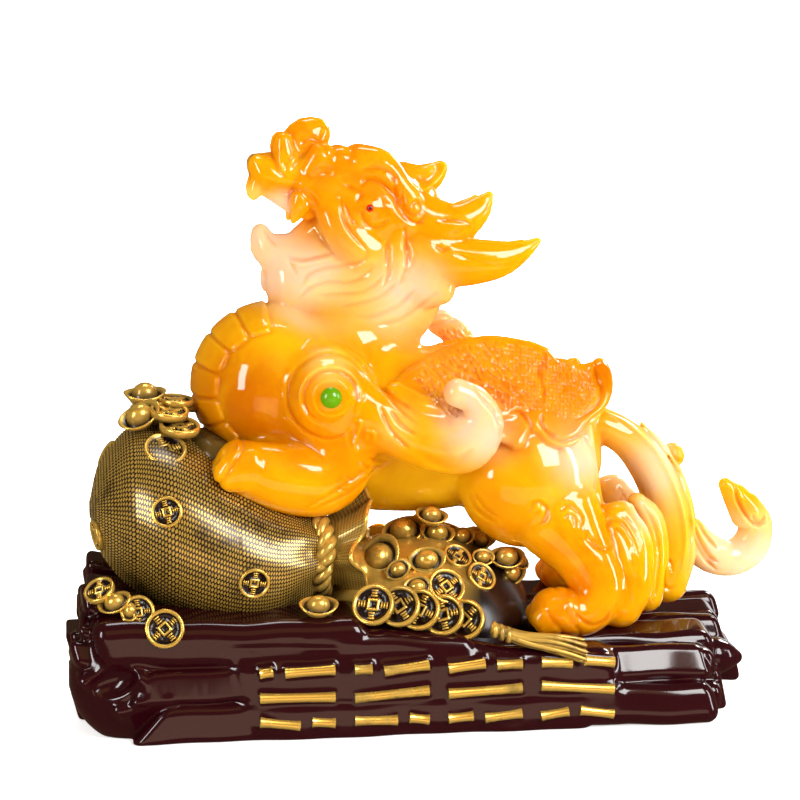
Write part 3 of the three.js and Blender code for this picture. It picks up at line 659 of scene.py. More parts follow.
JAW_LINES = {
    "chin": (1.2, -0.9, [(-79.5, 254.5), (-76, 248.5), (-72.5, 244.5)]),
    "jaw, upper": (1.2, -1.1, [(-67, 239.5), (-60.5, 237.5), (-52.5, 239), (-43.5, 241)]),
    "jaw, lower": (1.0, 0.9, [(-66, 236.5), (-59, 235.5), (-51, 237), (-43, 239)]),
    "leaf at the jaw": (1.0, -0.9, [(-66.5, 239), (-64, 233.5), (-62, 230)]),
    "beard 1": (
        1.3,
        -0.9,
        [(-60.5, 223), (-56.5, 229.5), (-49, 233), (-38.5, 234.5), (-29, 237.5), (-26, 242.5)],
    ),
    "beard 2": (1.3, -0.9, [(-61.5, 217), (-56, 223), (-47.5, 226), (-37, 226), (-28, 229), (-23, 235)]),
    "beard 3": (1.3, -0.8, [(-51.5, 219), (-42.5, 220), (-32, 220.5), (-23, 224.5), (-16.5, 232)]),
    "beard 4": (1.3, -0.8, [(-39.5, 213.5), (-30, 215.5), (-19.5, 219), (-12, 225)]),
    "beard 5": (1.3, -0.8, [(-33.5, 208), (-22, 209), (-10, 214), (-0.5, 222.5)]),
    "beard 6": (1.3, -0.8, [(-23, 203.5), (-10, 206), (1.5, 213), (10, 221)]),
    "jaw fold, front": (1.4, -1.2, [(-15.5, 247.5), (-16, 239.5), (-15, 231), (-18, 224.5)]),
    "jaw fold, rear": (1.4, -1.2, [(-6, 247.5), (-5, 239), (-7, 231), (-10, 225)]),
}
HORN_LINES = {
    "first horn's rim": (1.0, 1.0, [(-2, 276.5), (4, 274), (11, 276.5), (16, 281.5), (19, 287.5)]),
    "first horn's hollow": (2.4, -1.4, [(0.5, 279), (5.5, 278.5), (11, 281.5), (15, 286)]),
    "second horn's hollow": (2.6, -0.6, [(14, 265), (24, 264), (32.5, 266), (37.5, 269)]),
    "second horn's edge": (1.0, -1.0, [(12, 258.5), (20.5, 258), (29, 256.5)]),
    "second horn's fold": (1.2, -0.5, [(18.5, 251), (26, 254.5), (30, 256.5)]),
    "third horn's fold": (1.2, -0.4, [(17.5, 241.5), (29, 237.5), (42, 234.5), (54, 235.5)]),
    "pit in the mane": (1.2, -1.0, [(10, 245.5), (12.5, 243), (16.5, 243.5)]),
}
carve(SNOUT_LINES, inner=3)
carve(FACE_LINES, inner=9)
carve(JAW_LINES, inner=5)
carve(HORN_LINES, inner=2)

# %% Rings and flame of the shoulder
BEAD = (-49.1, 170.5)
SHOULDER_LINES = {
    "bead's collar": (1.0, 0.8, arc(BEAD, 9.5, 0, 360)),
    "first ring": (1.0, -1.1, arc(BEAD, 13.5, -30, 250)),
    "second ring": (0.9, 0.9, arc(BEAD, 16, -40, 260)),
    "third ring": (1.2, -1.4, arc(BEAD, 21, 30, 300)),
    "flame 1": (1.1, -1.3, [(-39.5, 193.5), (-28.5, 182.5), (-19, 170.5), (-12, 162), (-5, 156.5)]),
    "flame 2": (1.1, -1.3, [(-24.5, 181.5), (-20, 173.5), (-14, 167.5), (-7, 163.5)]),
    "flame 3": (1.1, -1.3, [(-24, 165.5), (-19.5, 155), (-14, 148), (-9, 143.5)]),
    "flame 4": (1.1, -1.3, [(-18.5, 163.5), (-13.5, 156.5), (-5.5, 151)]),
    "flame's belly": (2.6, -1.0, [(-1, 140), (7, 135.5), (15, 136), (22.5, 143.5)]),
    "flame's tip": (1.1, -0.8, [(22.5, 176.5), (28.5, 169), (35, 160.5), (37.5, 151.5), (36.5, 143)]),
}
ELBOW_LINES = {
    "elbow curl 1": (1.0, 1.0, [(-38.5, 159), (-34, 158), (-35, 152), (-37, 146.5), (-35, 142.5)]),
    "elbow curl 2": (1.0, 1.0, [(-31, 147.5), (-30, 153.5), (-27, 151.5), (-27.5, 146.5)]),
    "elbow curl 3": (1.0, 0.8, [(-38.5, 155), (-41.5, 150), (-39.5, 143.5)]),
    "hair 1": (0.9, -0.7, [(-36.5, 133), (-31.5, 130.5), (-25.5, 129)]),
    "hair 2": (0.9, -0.7, [(-33.5, 136), (-28, 132.5), (-20.5, 131.5)]),
    "hair 3": (0.9, -0.7, [(-30, 138.5), (-23.5, 135), (-17, 134)]),
    "hair 4": (0.9, -0.7, [(-46, 124), (-40.5, 122)]),
    "hair 5": (0.9, -0.7, [(-42.5, 130), (-38, 127.5)]),
    "crease, lower": (1.0, -0.8, [(-17, 134), (-28.5, 128), (-44, 119.5), (-59.5, 112.5)]),
    "crease, upper": (1.0, -0.8, [(-25, 136), (-38.5, 128), (-52, 120), (-62.5, 114)]),
}
carve(SHOULDER_LINES, inner=40, shift=8)
carve(ELBOW_LINES, inner=30, shift=10)

# %% Haunch and hind leg
HAUNCH_LINES = {
    "outer crescent": (1.1, -1.0, [(25, 117), (27.5, 110.5), (32.5, 105.5), (38.5, 102.5)]),
    "inner crescent": (1.0, -0.9, [(27.5, 117.5), (30.5, 112), (34.5, 107.5), (39, 105)]),
    "swirl": (1.1, -1.0, [(54.5, 108), (56, 113), (60, 113.5), (63.5, 109.5), (62.5, 104.5), (59, 101.5)]),
    "swirl's heart": (1.0, 0.8, [(57, 108.5), (59, 110.5), (61.5, 108.5), (60, 105.5)]),
    "curl": (1.1, -1.0, [(70.5, 108.5), (74.5, 111.5), (79, 109), (81.5, 104.5), (80, 100)]),
    "curl's heart": (1.0, -0.9, [(72.5, 105), (75, 107), (78, 105), (78, 100.5)]),
}
LEG_LINES = {
    "fetlock 1": (1.1, -0.9, [(97, 94.5), (97, 99), (101, 101.5), (106, 99), (110, 92), (112.5, 83.5)]),
    "fetlock 2": (1.1, -0.6, [(99.5, 94), (102, 97), (105.5, 92), (108.5, 83.5), (110.5, 73)]),
    "fetlock 3": (1.0, -0.6, [(103, 105), (108.5, 101.5), (112.5, 94), (115.5, 85.5)]),
    "fetlock 4": (1.0, -0.4, [(104, 98.5), (108.5, 89), (112, 78.5), (112.5, 65)]),
    "fetlock 5": (1.0, -0.4, [(99, 89.5), (103, 80), (107, 68), (108.5, 56.5)]),
    "fetlock 6": (1.0, -0.6, [(110.5, 109), (116, 102.5), (119, 91.5), (121.5, 83)]),
    "shin": (1.2, -0.9, [(83, 97), (87, 91.5), (93.5, 88), (99, 89)]),
    "ankle": (1.1, -1.1, [(75.5, 58.5), (80, 53), (86.5, 49.5), (93.5, 52), (96, 57)]),
    "toe 1": (1.2, -0.7, [(61, 59.5), (64.5, 53.5), (69.5, 48), (71.5, 42.5)]),
    "toe 2": (1.2, -0.7, [(71.5, 60.5), (74.5, 53.5), (79.5, 46.5), (80.5, 41)]),
    "knuckle 1": (1.0, -0.7, [(62.5, 66.5), (66.5, 69), (70, 66.5)]),
    "knuckle 2": (1.0, -0.7, [(72.5, 65), (76, 67), (80, 64.5)]),
}
carve(HAUNCH_LINES, inner=40, shift=FAR_HIND_SHIFT / 3)
carve(LEG_LINES, inner=30, shift=FAR_HIND_SHIFT)

# %% Tail
TAIL_LINES = {
    "ridge": (
        1.3,
        1.5,
        [(100, 156), (116.5, 147.5), (132, 133), (141, 117), (147.5, 99), (149, 82.5), (146.5, 64.5)],
    ),
    "outer groove": (
        1.4,
        -1.2,
        [(104.5, 157.5), (120, 149), (135, 134.5), (145, 118), (151.5, 100), (152.5, 82.5), (151, 65.5)],
    ),
    "swirl at the foot": (
        1.2,
        -1.2,
        [(144.5, 58.5), (138, 57), (134, 63.5), (135.5, 71), (140, 71.5), (141, 66)],
    ),
    "heart of the swirl": (1.0, 0.8, [(138, 62), (137.5, 66.5), (140, 68)]),
    "strand 1": (1.2, -1.3, [(151.5, 96.5), (155.5, 83.5), (162, 72), (170, 63)]),
    "strand 2": (1.2, -1.3, [(155.5, 91), (160, 80), (165.5, 71), (170.5, 67.5)]),
    "strand 3": (1.2, -1.2, [(157, 97.5), (162, 85.5), (170, 75)]),
    "bud's edge": (1.1, -1.1, [(180, 110), (182, 101), (186.5, 93), (192.5, 87.5), (198.5, 88.5)]),
    "bud's curl": (1.0, -0.9, [(189.5, 94), (192.5, 89.5), (196.5, 89.5), (198, 93)]),
    "hair beside the leg": (1.1, -1.0, [(121, 106), (127, 95), (129.5, 80), (128, 64), (125, 52)]),
    "nub 1": (1.1, -1.0, [(139, 130), (143, 124), (147, 118.5)]),
    "nub 2": (1.0, -0.8, [(143, 132), (145, 126.5), (150, 123)]),
}
carve(TAIL_LINES, inner=-2)

# %% Wing feathers
WING_LINES = {
    "band along the foot": (
        1.2,
        -1.2,
        [(101, 166.5), (96, 159.5), (88.5, 155), (84, 149.5), (77, 146), (70, 145.5), (64, 149), (61.5, 154)],
    ),
    "first lobe": (1.2, -1.2, [(63, 158.5), (62, 153.5), (65.5, 149), (70.5, 147.5)]),
    "second lobe": (1.2, -1.2, [(45, 159), (50, 160), (54, 156), (56, 150.5), (52.5, 143.5)]),
    "tip band": (1.3, -1.3, [(94, 184), (93.5, 177), (95.5, 169), (93, 162.5), (87, 158.5), (80, 155)]),
    "edge of the coverts": (1.3, -1.2, [(67, 191), (66.5, 185), (63, 179.5), (65, 169), (62.5, 160.5)]),
    "rim": (1.2, -1.0, [(12.5, 193), (25.5, 196.5), (41, 198), (55, 195), (65.5, 190)]),
}
DOWN = [
    (-6, 177), (14, 191), (40, 196), (66, 190), (86, 181), (92, 180),
    (93, 168), (88, 160), (78, 155), (66, 158), (44, 160), (20, 152),
]
DOWN_DEPTH = 0.5
DOWN_PITCH = 2.8
DOWN_SEED = 11
WING_INNER, WING_OUTER = 14, 56


def ruffle_down(drawing):
    """Short ruffled barbs all over the wing but for its border, and rows of pearls at its rear."""
    closed = smooth_rows([[x, 0, z, 1] for x, z in [*DOWN, DOWN[0]]], 3)[:, [0, 2]]
    inside = -outline_distance(closed, drawing.x[:, 0], drawing.z[0])
    grains = np.random.default_rng(DOWN_SEED).standard_normal(drawing.height.shape)
    for step in ((1, -1), (0, 1)):
        grains = grains + np.roll(grains, step, (0, 1))
    grains /= grains.std()
    long, high = 0.8 * drawing.x + 0.6 * drawing.z, 0.8 * drawing.z - 0.6 * drawing.x
    pearls = np.cos(long * math.tau / DOWN_PITCH) * np.cos(high * math.tau / DOWN_PITCH)
    rear = np.clip((drawing.x - 30) / 30, 0, 1)
    ruffle = np.clip(grains, -1.6, 1.6) * (1 - 0.6 * rear) + 1.5 * pearls * rear
    drawing.height += np.clip(inside / 2, 0, 1) * ruffle * DOWN_DEPTH


for side in (1, -1):
    drawing = Drawing(animal)
    ruffle_down(drawing)
    for width, height, points in WING_LINES.values():
        drawing.line(width, height, points)
    drawing.press(side, WING_INNER, WING_OUTER)
print("the wings are feathered")

# %% Plates of the chest
CHEST = (-74.6, 171.5)
PLATE_TURN = 23.4
FIRST_PLATE, PLATES = 128.5, 5
PLATE_INNER, PLATE_OUTER, PLATE_REACH = 30, 38, 60
PLATE_HEIGHT, SEAM_DEPTH = 1.1, 0.5
drawing = Drawing(animal)
away = np.hypot(drawing.x - CHEST[0], drawing.z - CHEST[1])
turn = np.degrees(np.arctan2(drawing.z - CHEST[1], drawing.x - CHEST[0])) % 360
place = (turn - FIRST_PLATE) / PLATE_TURN
across = 2 * np.abs(place - np.clip(np.round(place), -1, PLATES - 1))
inward = np.clip((PLATE_OUTER - away) / (PLATE_OUTER - PLATE_INNER), 0, 2)
edge = (across**5 + inward**5) ** 0.2
drawing.height += PLATE_HEIGHT * np.clip((1.0 - edge) / 0.25, 0, 1)
drawing.height -= SEAM_DEPTH * np.exp(-(((edge - 1) / 0.1) ** 2))
drawing.height *= away < PLATE_REACH
drawing.press(1, -99)
print("the carving is cut")


# %% [markdown]
# ## From clay to a mesh
# The surface is where the distance is zero. Its points are taken off the block, thinned where it is
# flat, and given the clay's own slope as their normals, so the gloss runs smoothly over them.


# %% Take the skin off the clay
def skin(clay, name, faces):
    """The clay's surface as a mesh object in metres, thinned to a number of triangles."""
    grid = openvdb.FloatGrid(3.0)
    grid.copyFromArray(np.clip(clay.field, -3, 3))
    points, _, quads = grid.convertToPolygons(isovalue=0.0, adaptivity=0.0)
    places = (points * clay.grain + clay.low) * MM
    mesh = bpy.data.meshes.new(name)
    mesh.vertices.add(len(places))
    mesh.vertices.foreach_set("co", places.astype(np.float32).ravel())
    mesh.loops.add(quads.size)
    mesh.loops.foreach_set("vertex_index", quads.ravel())
    mesh.polygons.add(len(quads))
    mesh.polygons.foreach_set("loop_start", np.arange(0, quads.size, 4))
    mesh.update(calc_edges=True)
    made = new_piece(name, mesh)
    if len(quads) * 2 > faces:
        thin = made.modifiers.new("thin", "DECIMATE")
        thin.ratio = faces / (len(quads) * 2)
        work_in(made)
    made.data.shade_smooth()
    normals = slopes(clay, vertex_places(made.data) / MM)
    made.data.normals_split_custom_set_from_vertices(normals.astype(np.float32))
    return made


def vertex_places(mesh):
    """A mesh's points as rows of x, y, z."""
    places = np.zeros(len(mesh.vertices) * 3, np.float32)
    mesh.vertices.foreach_get("co", places)
    return places.reshape(-1, 3)


def read_clay(clay, places):
    """The clay's distance at any places, between its voxels too."""
    spot = (places - clay.low) / clay.grain
    base = np.clip(np.floor(spot).astype(int), 0, clay.count - 2)
    part = spot - base
    value = 0
    for corner in np.ndindex(2, 2, 2):
        weight = np.prod(np.where(corner, part, 1 - part), axis=1)
        value = value + weight * clay.field[tuple((base + corner).T)]
    return value


def slopes(clay, places):
    """The direction straight out of the clay at each place."""
    steps = np.eye(3) * clay.grain * 0.75
    slope = np.stack(
        [read_clay(clay, places + s) - read_clay(clay, places - s) for s in steps], axis=1
    )
    return slope / (np.linalg.norm(slope, axis=1, keepdims=True) + 1e-9)


PIXIU_FACES = 196000
pixiu = skin(animal, "pixiu_resin", PIXIU_FACES)
dress(pixiu, "pixiu")
print("pixiu has", sum(len(p.vertices) - 2 for p in pixiu.data.polygons), "triangles")

# %% [markdown]
# ## Beads
# A green glass bead sits in each shoulder's spiral and a red one in each eye. They are pressed into
# their sockets on the real figure, so each is a ball of its own, as large as its place in the solids.

# %% Beads in the shoulders and eyes
BEADS = {
    "shoulder_bead_left": "green_bead",
    "shoulder_bead_right": "green_bead",
    "eye_bead_left": "eye_bead",
    "eye_bead_right": "eye_bead",
}
beads = {}
for node, slot in BEADS.items():
    low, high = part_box(node)
    ball = bmesh.new()
    bmesh.ops.create_icosphere(ball, subdivisions=4, radius=(high.x - low.x) / 2)
    bmesh.ops.translate(ball, verts=ball.verts, vec=(low + high) / 2)
    mesh = bpy.data.meshes.new(node + "_glass")
    ball.to_mesh(mesh)
    ball.free()
    mesh.shade_smooth()
    beads[node] = new_piece(node + "_glass", mesh)
    dress(beads[node], node)
print("beads:", len(beads))

# %% [markdown]
# ## The rock
# The base is cast as a bundle of long, broken planks of stone. Each is a box with rounded edges that
# may be rolled about its length, and its faces wander a little, as split stone does. They are melted
# together with sharp seams, hollows are cut at the left end, and the bottom is cut flat.


# %% A plank of stone
def plank(clay, start, end, half_height, half_depth, roll=0, edge=3, lean=0.25, wander=0.5):
    """The distance to a plank between the middles of its ends, which may lean."""
    start, end = np.array(start, float), np.array(end, float)
    length = np.linalg.norm(end - start)
    along = (end - start) / length
    across = np.cross([0, 0, 1], along)
    across /= np.linalg.norm(across)
    up = np.cross(along, across)
    turn = math.radians(roll)
    across, up = (
        across * math.cos(turn) + up * math.sin(turn),
        up * math.cos(turn) - across * math.sin(turn),
    )
    room = math.hypot(half_height, half_depth) + 5 + abs(lean) * half_height
    place, axes = clay.patch(np.minimum(start, end) - room, np.maximum(start, end) + room)
    x, y, z = (shaped(a - c, i) for i, (a, c) in enumerate(zip(axes, (start + end) / 2)))
    offsets = [x * d[0] + y * d[1] + z * d[2] for d in (along, across, up)]
    wave = np.sin(offsets[0] * 0.06 + roll + start[1]) + 0.6 * np.sin(offsets[0] * 0.17 + start[2])
    wave = wander * wave.astype(np.float32)
    beyond = [
        np.abs(offsets[0] + lean * offsets[2]) - length / 2 + edge,
        np.abs(offsets[1] + wave) - half_depth + edge,
        np.abs(offsets[2] + wave) - half_height + edge,
    ]
    outside = np.sqrt(sum(np.maximum(b, 0) ** 2 for b in beyond))
    inside = np.minimum(np.maximum(np.maximum(*beyond[:2]), beyond[2]), 0)
    return place, (outside + inside - edge).astype(np.float32)


# %% Planks, hollows and the sign's face
ROCK_GRAIN = 0.9
ROCK_LOW, ROCK_HIGH = (-193, -93, -3), (193, 93, 100)
SEAM = 1.2  # how softly two planks meet
rock_clay = Clay(ROCK_LOW, ROCK_HIGH, ROCK_GRAIN)
PLANKS = [  # left end x, y, z, right end x, y, z, half height, half depth, roll, edge, lean of its ends
    (-146, -66, 9, 90, -66, 9, 10.5, 18, 0, 5, -0.9),
    (60, -67, 11, 149, -70, 10, 11.5, 17, -8, 8),
    (-149, -69, 28.5, 90, -69, 27, 8.5, 14, -4, 3, -0.6),
    (-160, -70, 16, -128, -74, 24, 9, 8, 40, 4, 0.3),
    (-174, -65, 30, -138, -72, 36, 9, 12, 22, 6, 0.8),
    (-183, -60, 42, -150, -60, 38, 7, 11, -26, 4, 0.4),
    (-177, -56, 55, -150, -56, 50, 7, 11, 20, 4, 0.6),
    (-177, -46, 68, -140, -48, 58, 8, 12, -20, 4, 0.4),
    (60, -52, 10, 157, -52, 8, 9, 14, 10, 6, 0),
    (60, -38, 25, 156, -39, 25, 9, 10, 14, 5),
    (-171, -61, 51, -30, -63, 49, 13, 20, 6, 9),
    (-70, -63, 48.5, 24, -64, 39.5, 10.5, 19, 4, 7),
    (0, -64, 41, 88, -65, 27, 9.5, 18, 2, 6),
    (64, -61, 27, 145, -61, 25, 9.5, 19, -24, 5),
    (132, -66, 31, 150, -66, 30, 7.5, 10, 0, 5),
    (62, -45, 37, 155, -43, 35, 9, 12, 14, 6),
    (40, -21, 37, 166, -19, 34, 9, 12, -14, 6),
    (30, 5, 38, 172, 7, 34, 9, 13, 12, 6),
    (30, 31, 37, 178, 31, 35, 9, 13, -12, 6),
    (20, 57, 36, 170, 57, 34, 9, 14, 12, 6),
    (-140, 72, 28, 150, 70, 27, 11, 11, 0, 3),
    (60, -41, 14, 160, -41, 12, 13, 18, 6, 5),
    (60, -11, 17, 176, -14, 19, 10, 14, 14, 4),
    (60, 6, 10, 170, 8, 9, 11, 20, 0, 3),
    (60, 27, 14, 180, 25, 16, 11, 14, -12, 4),
    (-150, 58, 12, 164, 58, 12, 12, 20, 0, 3),
    (-174, -50, 13, -20, -52, 12, 12, 16, -10, 4),
    (-181, -36, 30, -20, -36, 29, 7, 13, 10, 2),
    (-182, -16, 12, 60, -16, 12, 12, 18, 8, 3),
    (-182, -12, 36, 30, -14, 32, 7, 13, -9, 3),
    (-181, 14, 10, 60, 14, 12, 11, 18, 0, 3),
    (-184, 14, 32, 30, 14, 30, 9, 13, 7, 2),
    (-176, 42, 14, 30, 42, 13, 13, 16, -7, 3),
    (-178, 44, 38, 20, 42, 34, 10, 15, 8, 2),
    (-177, -36, 54, -10, -38, 46, 9, 13, -12, 3),
    (-178, -12, 56, 8, -14, 46, 9, 14, 14, 4),
    (-175, 13, 63, 8, 12, 46, 10, 13, -12, 4),
    (-169, 40, 57, 0, 38, 44, 9, 14, 14, 4),
    (-160, 62, 42, -20, 60, 38, 11, 14, -6, 3),
    (-174, 6, 74, -124, 8, 64, 8, 9, 16, 4),
    (-170, 24, 70, -118, 26, 62, 8, 10, -14, 4),
    (-174, -20, 66, -128, -20, 60, 7, 10, 12, 3),
]
BOULDER = ((-148, -58, 30), (36, 22, 36))
rock_clay.add(egg(rock_clay, *BOULDER), 1)
for row in PLANKS:
    stone = plank(rock_clay, row[:3], row[3:6], *row[6:])
    rock_clay.add(stone, SEAM)
KNOB = [[146, -38, 25, 9, 9], [158, -39, 25, 10.5, 10.5], [170, -40, 24, 4, 4]]
rock_clay.add(limb(rock_clay, KNOB), 1.5)
HOLLOWS = (
    ((-164, -84, 31), (15, 12, 9)),
    ((-150, -90, 27), (7, 8, 5)),
    ((-178, -38, 43), (8, 12, 4)),
)
HOLLOW_LEAN = 25
for centre, radii in HOLLOWS:
    rock_clay.cut(egg(rock_clay, centre, radii, HOLLOW_LEAN), 2)
CRACK = [[-113, -84, 48.5, 0.6, 0.6], [-82, -85, 47.5, 1.8, 2.5], [-50, -83, 46.5, 0.6, 0.6]]
rock_clay.cut(limb(rock_clay, CRACK), 2)
print(len(PLANKS), "planks and a knob")

# %% The sign's face and strokes
SIGN_CENTRE = 2
SIGN_FRONT = -84
SIGN_MIDDLE = 22.5
SIGN_GROUPS, SIGN_PITCH, SIGN_WIDTH, SIGN_HEIGHT = 4, 48, 38, 31
STROKE_WIDTH, STROKE_ROWS, STROKE_BORDER = 4.4, 3, 1.3
STROKE_STEPS = 12
FACE_LEFT, FACE_RIGHT = -99, 98
FACE_HALF_HEIGHT, FACE_HALF_DEPTH = 20, 12
face = plank(
    rock_clay,
    (FACE_LEFT, SIGN_FRONT + FACE_HALF_DEPTH, SIGN_MIDDLE),
    (FACE_RIGHT, SIGN_FRONT + FACE_HALF_DEPTH, SIGN_MIDDLE),
    FACE_HALF_HEIGHT,
    FACE_HALF_DEPTH,
    edge=7,
    wander=0,
)
rock_clay.add(face, 4)


def jitter(seed):
    """A value from -1 to 1 that depends only on the seed."""
    wave = math.sin(seed * 127.1 + 11.7) * 43758.5453
    return 2 * (wave - math.floor(wave)) - 1


strokes = []
for group in range(SIGN_GROUPS):
    middle = SIGN_CENTRE + (group - (SIGN_GROUPS - 1) / 2) * SIGN_PITCH
    for row in range(STROKE_ROWS):
        z = SIGN_MIDDLE + (row / (STROKE_ROWS - 1) - 0.5) * (SIGN_HEIGHT - STROKE_WIDTH)
        split = (0.5 + 0.22 * jitter(group * 9 + row + 300)) * SIGN_WIDTH
        spans = [(0, split - STROKE_WIDTH), (split + STROKE_WIDTH * 0.4, SIGN_WIDTH)]
        for i, (start, end) in enumerate([(0, SIGN_WIDTH)] if row == 1 else spans):
            tilt = 0.16 * jitter(group * 17 + row * 3 + i + 400)
            half = (end - start) / 2
            centre = middle - SIGN_WIDTH / 2 + start + half
            path = []
            for share in np.linspace(-1, 1, STROKE_STEPS + 1):
                x, up = centre + half * share, z - tilt * half * share
                path.append((x, SIGN_FRONT - 0.3, up, 1.25 + 0.2 * abs(share) ** 3))
            strokes.append(path)
for path in strokes:
    border = [
        [x, SIGN_FRONT + 0.2, z, STROKE_WIDTH / 2 * size + STROKE_BORDER, STROKE_BORDER]
        for x, _, z, size in path[::4]
    ]
    rock_clay.add(limb(rock_clay, border), 0.8)
place, (_, _, heights) = rock_clay.patch(ROCK_LOW, (*ROCK_HIGH[:2], -ROCK_LOW[2]))
rock_clay.cut((place, shaped(heights, 2) + np.zeros_like(rock_clay.field[place])), 0.5)
rock_clay.soften()
ROCK_FACES = 180000
rock = skin(rock_clay, "rock", ROCK_FACES)
dress(rock, "treasure_base")
print("the rock is", len(rock.data.polygons), "faces")

# %% [markdown]
# ## The money sack
# A sack of coarse cloth lies on the rock, tied with a rope near its mouth. Its surface is a table of
# rings, and the weave could be a bump in the paint, but up close that looks printed. So it is real
# relief: the points stand half a thread apart, and every second one in both directions is a knot that
# stands out. Under the animal's chest the cloth swells in a fold, a plain egg of clay. It is left
# nearly without gold, so its dark is painted shade under the chest.

# %% Sack body
SACK = [
    [-172, -14, 109, 3, 3],
    [-167, -14, 109.5, 22, 25],
    [-158, -13.5, 109, 35, 38],
    [-148, -13, 108, 43, 48],
    [-128, -13, 100, 50, 57],
    [-97, -14, 87, 45, 57],
    [-78, -18, 83, 36, 50],
    [-64, -26, 84.5, 27, 37],
    [-53, -34, 86, 18, 22],
]
THREAD = 1.6
KNOT = 0.5


def sack_mesh(rows, relief):
    """A closed skin round the rings of a smoothed table. Relief moves each point outwards."""
    around = relief.shape[1]
    turn = np.arange(around) / around * 2 * math.pi
    side, up = np.cos(turn), np.sin(turn)
    points = np.zeros((len(rows), around, 3))
    points[..., 0] = rows[:, None, 0]
    points[..., 1] = rows[:, None, 1] - rows[:, None, 4] * side
    points[..., 2] = rows[:, None, 2] + rows[:, None, 3] * up
    out = np.stack([np.zeros_like(side), -side, up], -1)
    points += out[None] * relief[..., None]
    count = len(rows)
    index = np.arange(count * around).reshape(count, around)
    after = np.roll(index, -1, 1)
    quads = np.stack([index[:-1], after[:-1], after[1:], index[1:]], -1).reshape(-1, 4)
    mesh = bpy.data.meshes.new("money_sack")
    closed = [index[0][::-1].tolist(), index[-1].tolist()]
    mesh.from_pydata((points.reshape(-1, 3) * MM).tolist(), [], quads.tolist() + closed)
    mesh.shade_smooth()
    return mesh


SACK_RADIUS = 53
PLEATS, PLEAT_DEPTH, PLEAT_TURN = 9, 1.6, 0.8
PLEATS_FROM, PLEATS_TO = -88, -54
sack_rows = smooth_rows(SACK, THREAD / 2)
around = 2 * round(math.pi * SACK_RADIUS / THREAD)
weave = np.zeros((len(sack_rows), around))
weave[::2, ::2] = KNOT
gathered = np.clip((sack_rows[:, 0] - PLEATS_FROM) / (PLEATS_TO - PLEATS_FROM), 0, 1)[:, None] ** 2
pleats = np.cos(np.arange(around) / around * 2 * math.pi * PLEATS + PLEAT_TURN)
sack = new_piece("money_sack", sack_mesh(sack_rows, weave + PLEAT_DEPTH * gathered * pleats))
store(sack.data, "gilding", (weave / KNOT).ravel())
dress(sack, "treasure_base")
print("the sack has", len(sack.data.polygons), "faces")

# %% Fold of the sack under the chest
CLOTH_GRAIN = 1.0
SACK_FOLD = ((-104, -10, 134), (20, 24, 13), -35)
# the fold holds little gold, so it is nearly black: painted shade under the chest, on the sack's cloth
FOLD_FACES, FOLD_GILDING_PAINTED_SHADE = 6000, 0.12
fold_clay = Clay((-135, -45, 105), (-70, 30, 160), CLOTH_GRAIN)
fold_clay.add(egg(fold_clay, *SACK_FOLD), 1)
sack_fold = skin(fold_clay, "sack_fold", FOLD_FACES)
store(sack_fold.data, "gilding", [FOLD_GILDING_PAINTED_SHADE] * len(sack_fold.data.vertices))
dress(sack_fold, "treasure_base")
print("the fold has", len(sack_fold.data.polygons), "faces")

# %% [markdown]
# ## Colours and nodes
# Colours are typed as they look on a screen and turned to linear light by one function. Nodes could be
# added line by line, but one helper sets a node's values and links in a single call.


# %% Colour and node helpers
def colour(text):
    """An sRGB colour such as #FFA500 as linear red, green, blue and alpha."""
    values = [int(text[i : i + 2], 16) / 255 for i in (1, 3, 5)]
    linear = [v / 12.92 if v <= 0.04045 else ((v + 0.055) / 1.055) ** 2.4 for v in values]
    return (*linear, 1.0)


def add_node(tree, kind, inputs=None, **settings):
    """Adds a node to a tree. Inputs are values or the sockets that they come from."""
    node = tree.nodes.new(kind)
    for key, value in settings.items():
        setattr(node, key, value)
    for key, value in (inputs or {}).items():
        if isinstance(value, bpy.types.NodeSocket):
            tree.links.new(value, node.inputs[key])
        else:
            node.inputs[key].default_value = value
    return node


def new_material(name):
    """An empty material with its node tree and output."""
    material = bpy.data.materials.new(name)
    material.use_nodes = True
    material.node_tree.nodes.clear()
    return material, material.node_tree


# %% [markdown]
# ## Gold paint
# The treasure is cast in the dark resin, painted gold all over and wiped while wet, so gold stays on
# whatever stands out. It could be two materials on each face, but the border would be hard. Here every
# point of a mesh stores how much gold it holds, and noise wipes it unevenly. The gold is a metal, so it
# mirrors in its own colour and keeps the usual IOR. The dark below it is a glossy plastic.

# %% Gold paint
GOLD, UNDER_GOLD = "#FFD060", "#120405"
WIPES_PER_METRE = 38  # a patch that one wipe has left is about 26 mm across
WIPED_METAL = 0.8  # a wiped coat is thin, so it mirrors less than solid gold
gilded, tree = new_material("gold paint rubbed on dark resin")
gold = add_node(tree, "ShaderNodeAttribute", attribute_name="gilding")
place = add_node(tree, "ShaderNodeTexCoord")
patches = add_node(
    tree,
    "ShaderNodeTexNoise",
    {
        "Vector": place.outputs["Object"],
        "Scale": WIPES_PER_METRE,
        "Detail": 8,
        "Roughness": 0.75,
    },
)
wiped = add_node(
    tree,
    "ShaderNodeMapRange",
    {"Value": patches.outputs["Fac"], "From Min": 0.36, "From Max": 0.5, "To Min": 0.3},
)
held = add_node(
    tree, "ShaderNodeMath", {0: gold.outputs["Fac"], 1: wiped.outputs[0]}, operation="MULTIPLY"
)
metal = add_node(tree, "ShaderNodeMath", {0: held.outputs[0], 1: WIPED_METAL}, operation="MULTIPLY")
paint = add_node(
    tree,
    "ShaderNodeMix",
    {"Factor": held.outputs[0], 6: colour(UNDER_GOLD), 7: colour(GOLD)},
    data_type="RGBA",
)
shader = add_node(
    tree,
    "ShaderNodeBsdfPrincipled",
    {"Base Color": paint.outputs[2], "Metallic": metal.outputs[0], "Roughness": 0.26},
)
add_node(tree, "ShaderNodeOutputMaterial", {"Surface": shader.outputs[0]})
for piece in (sack, sack_fold):
    piece.data.materials.append(gilded)
print("made", gilded.name)

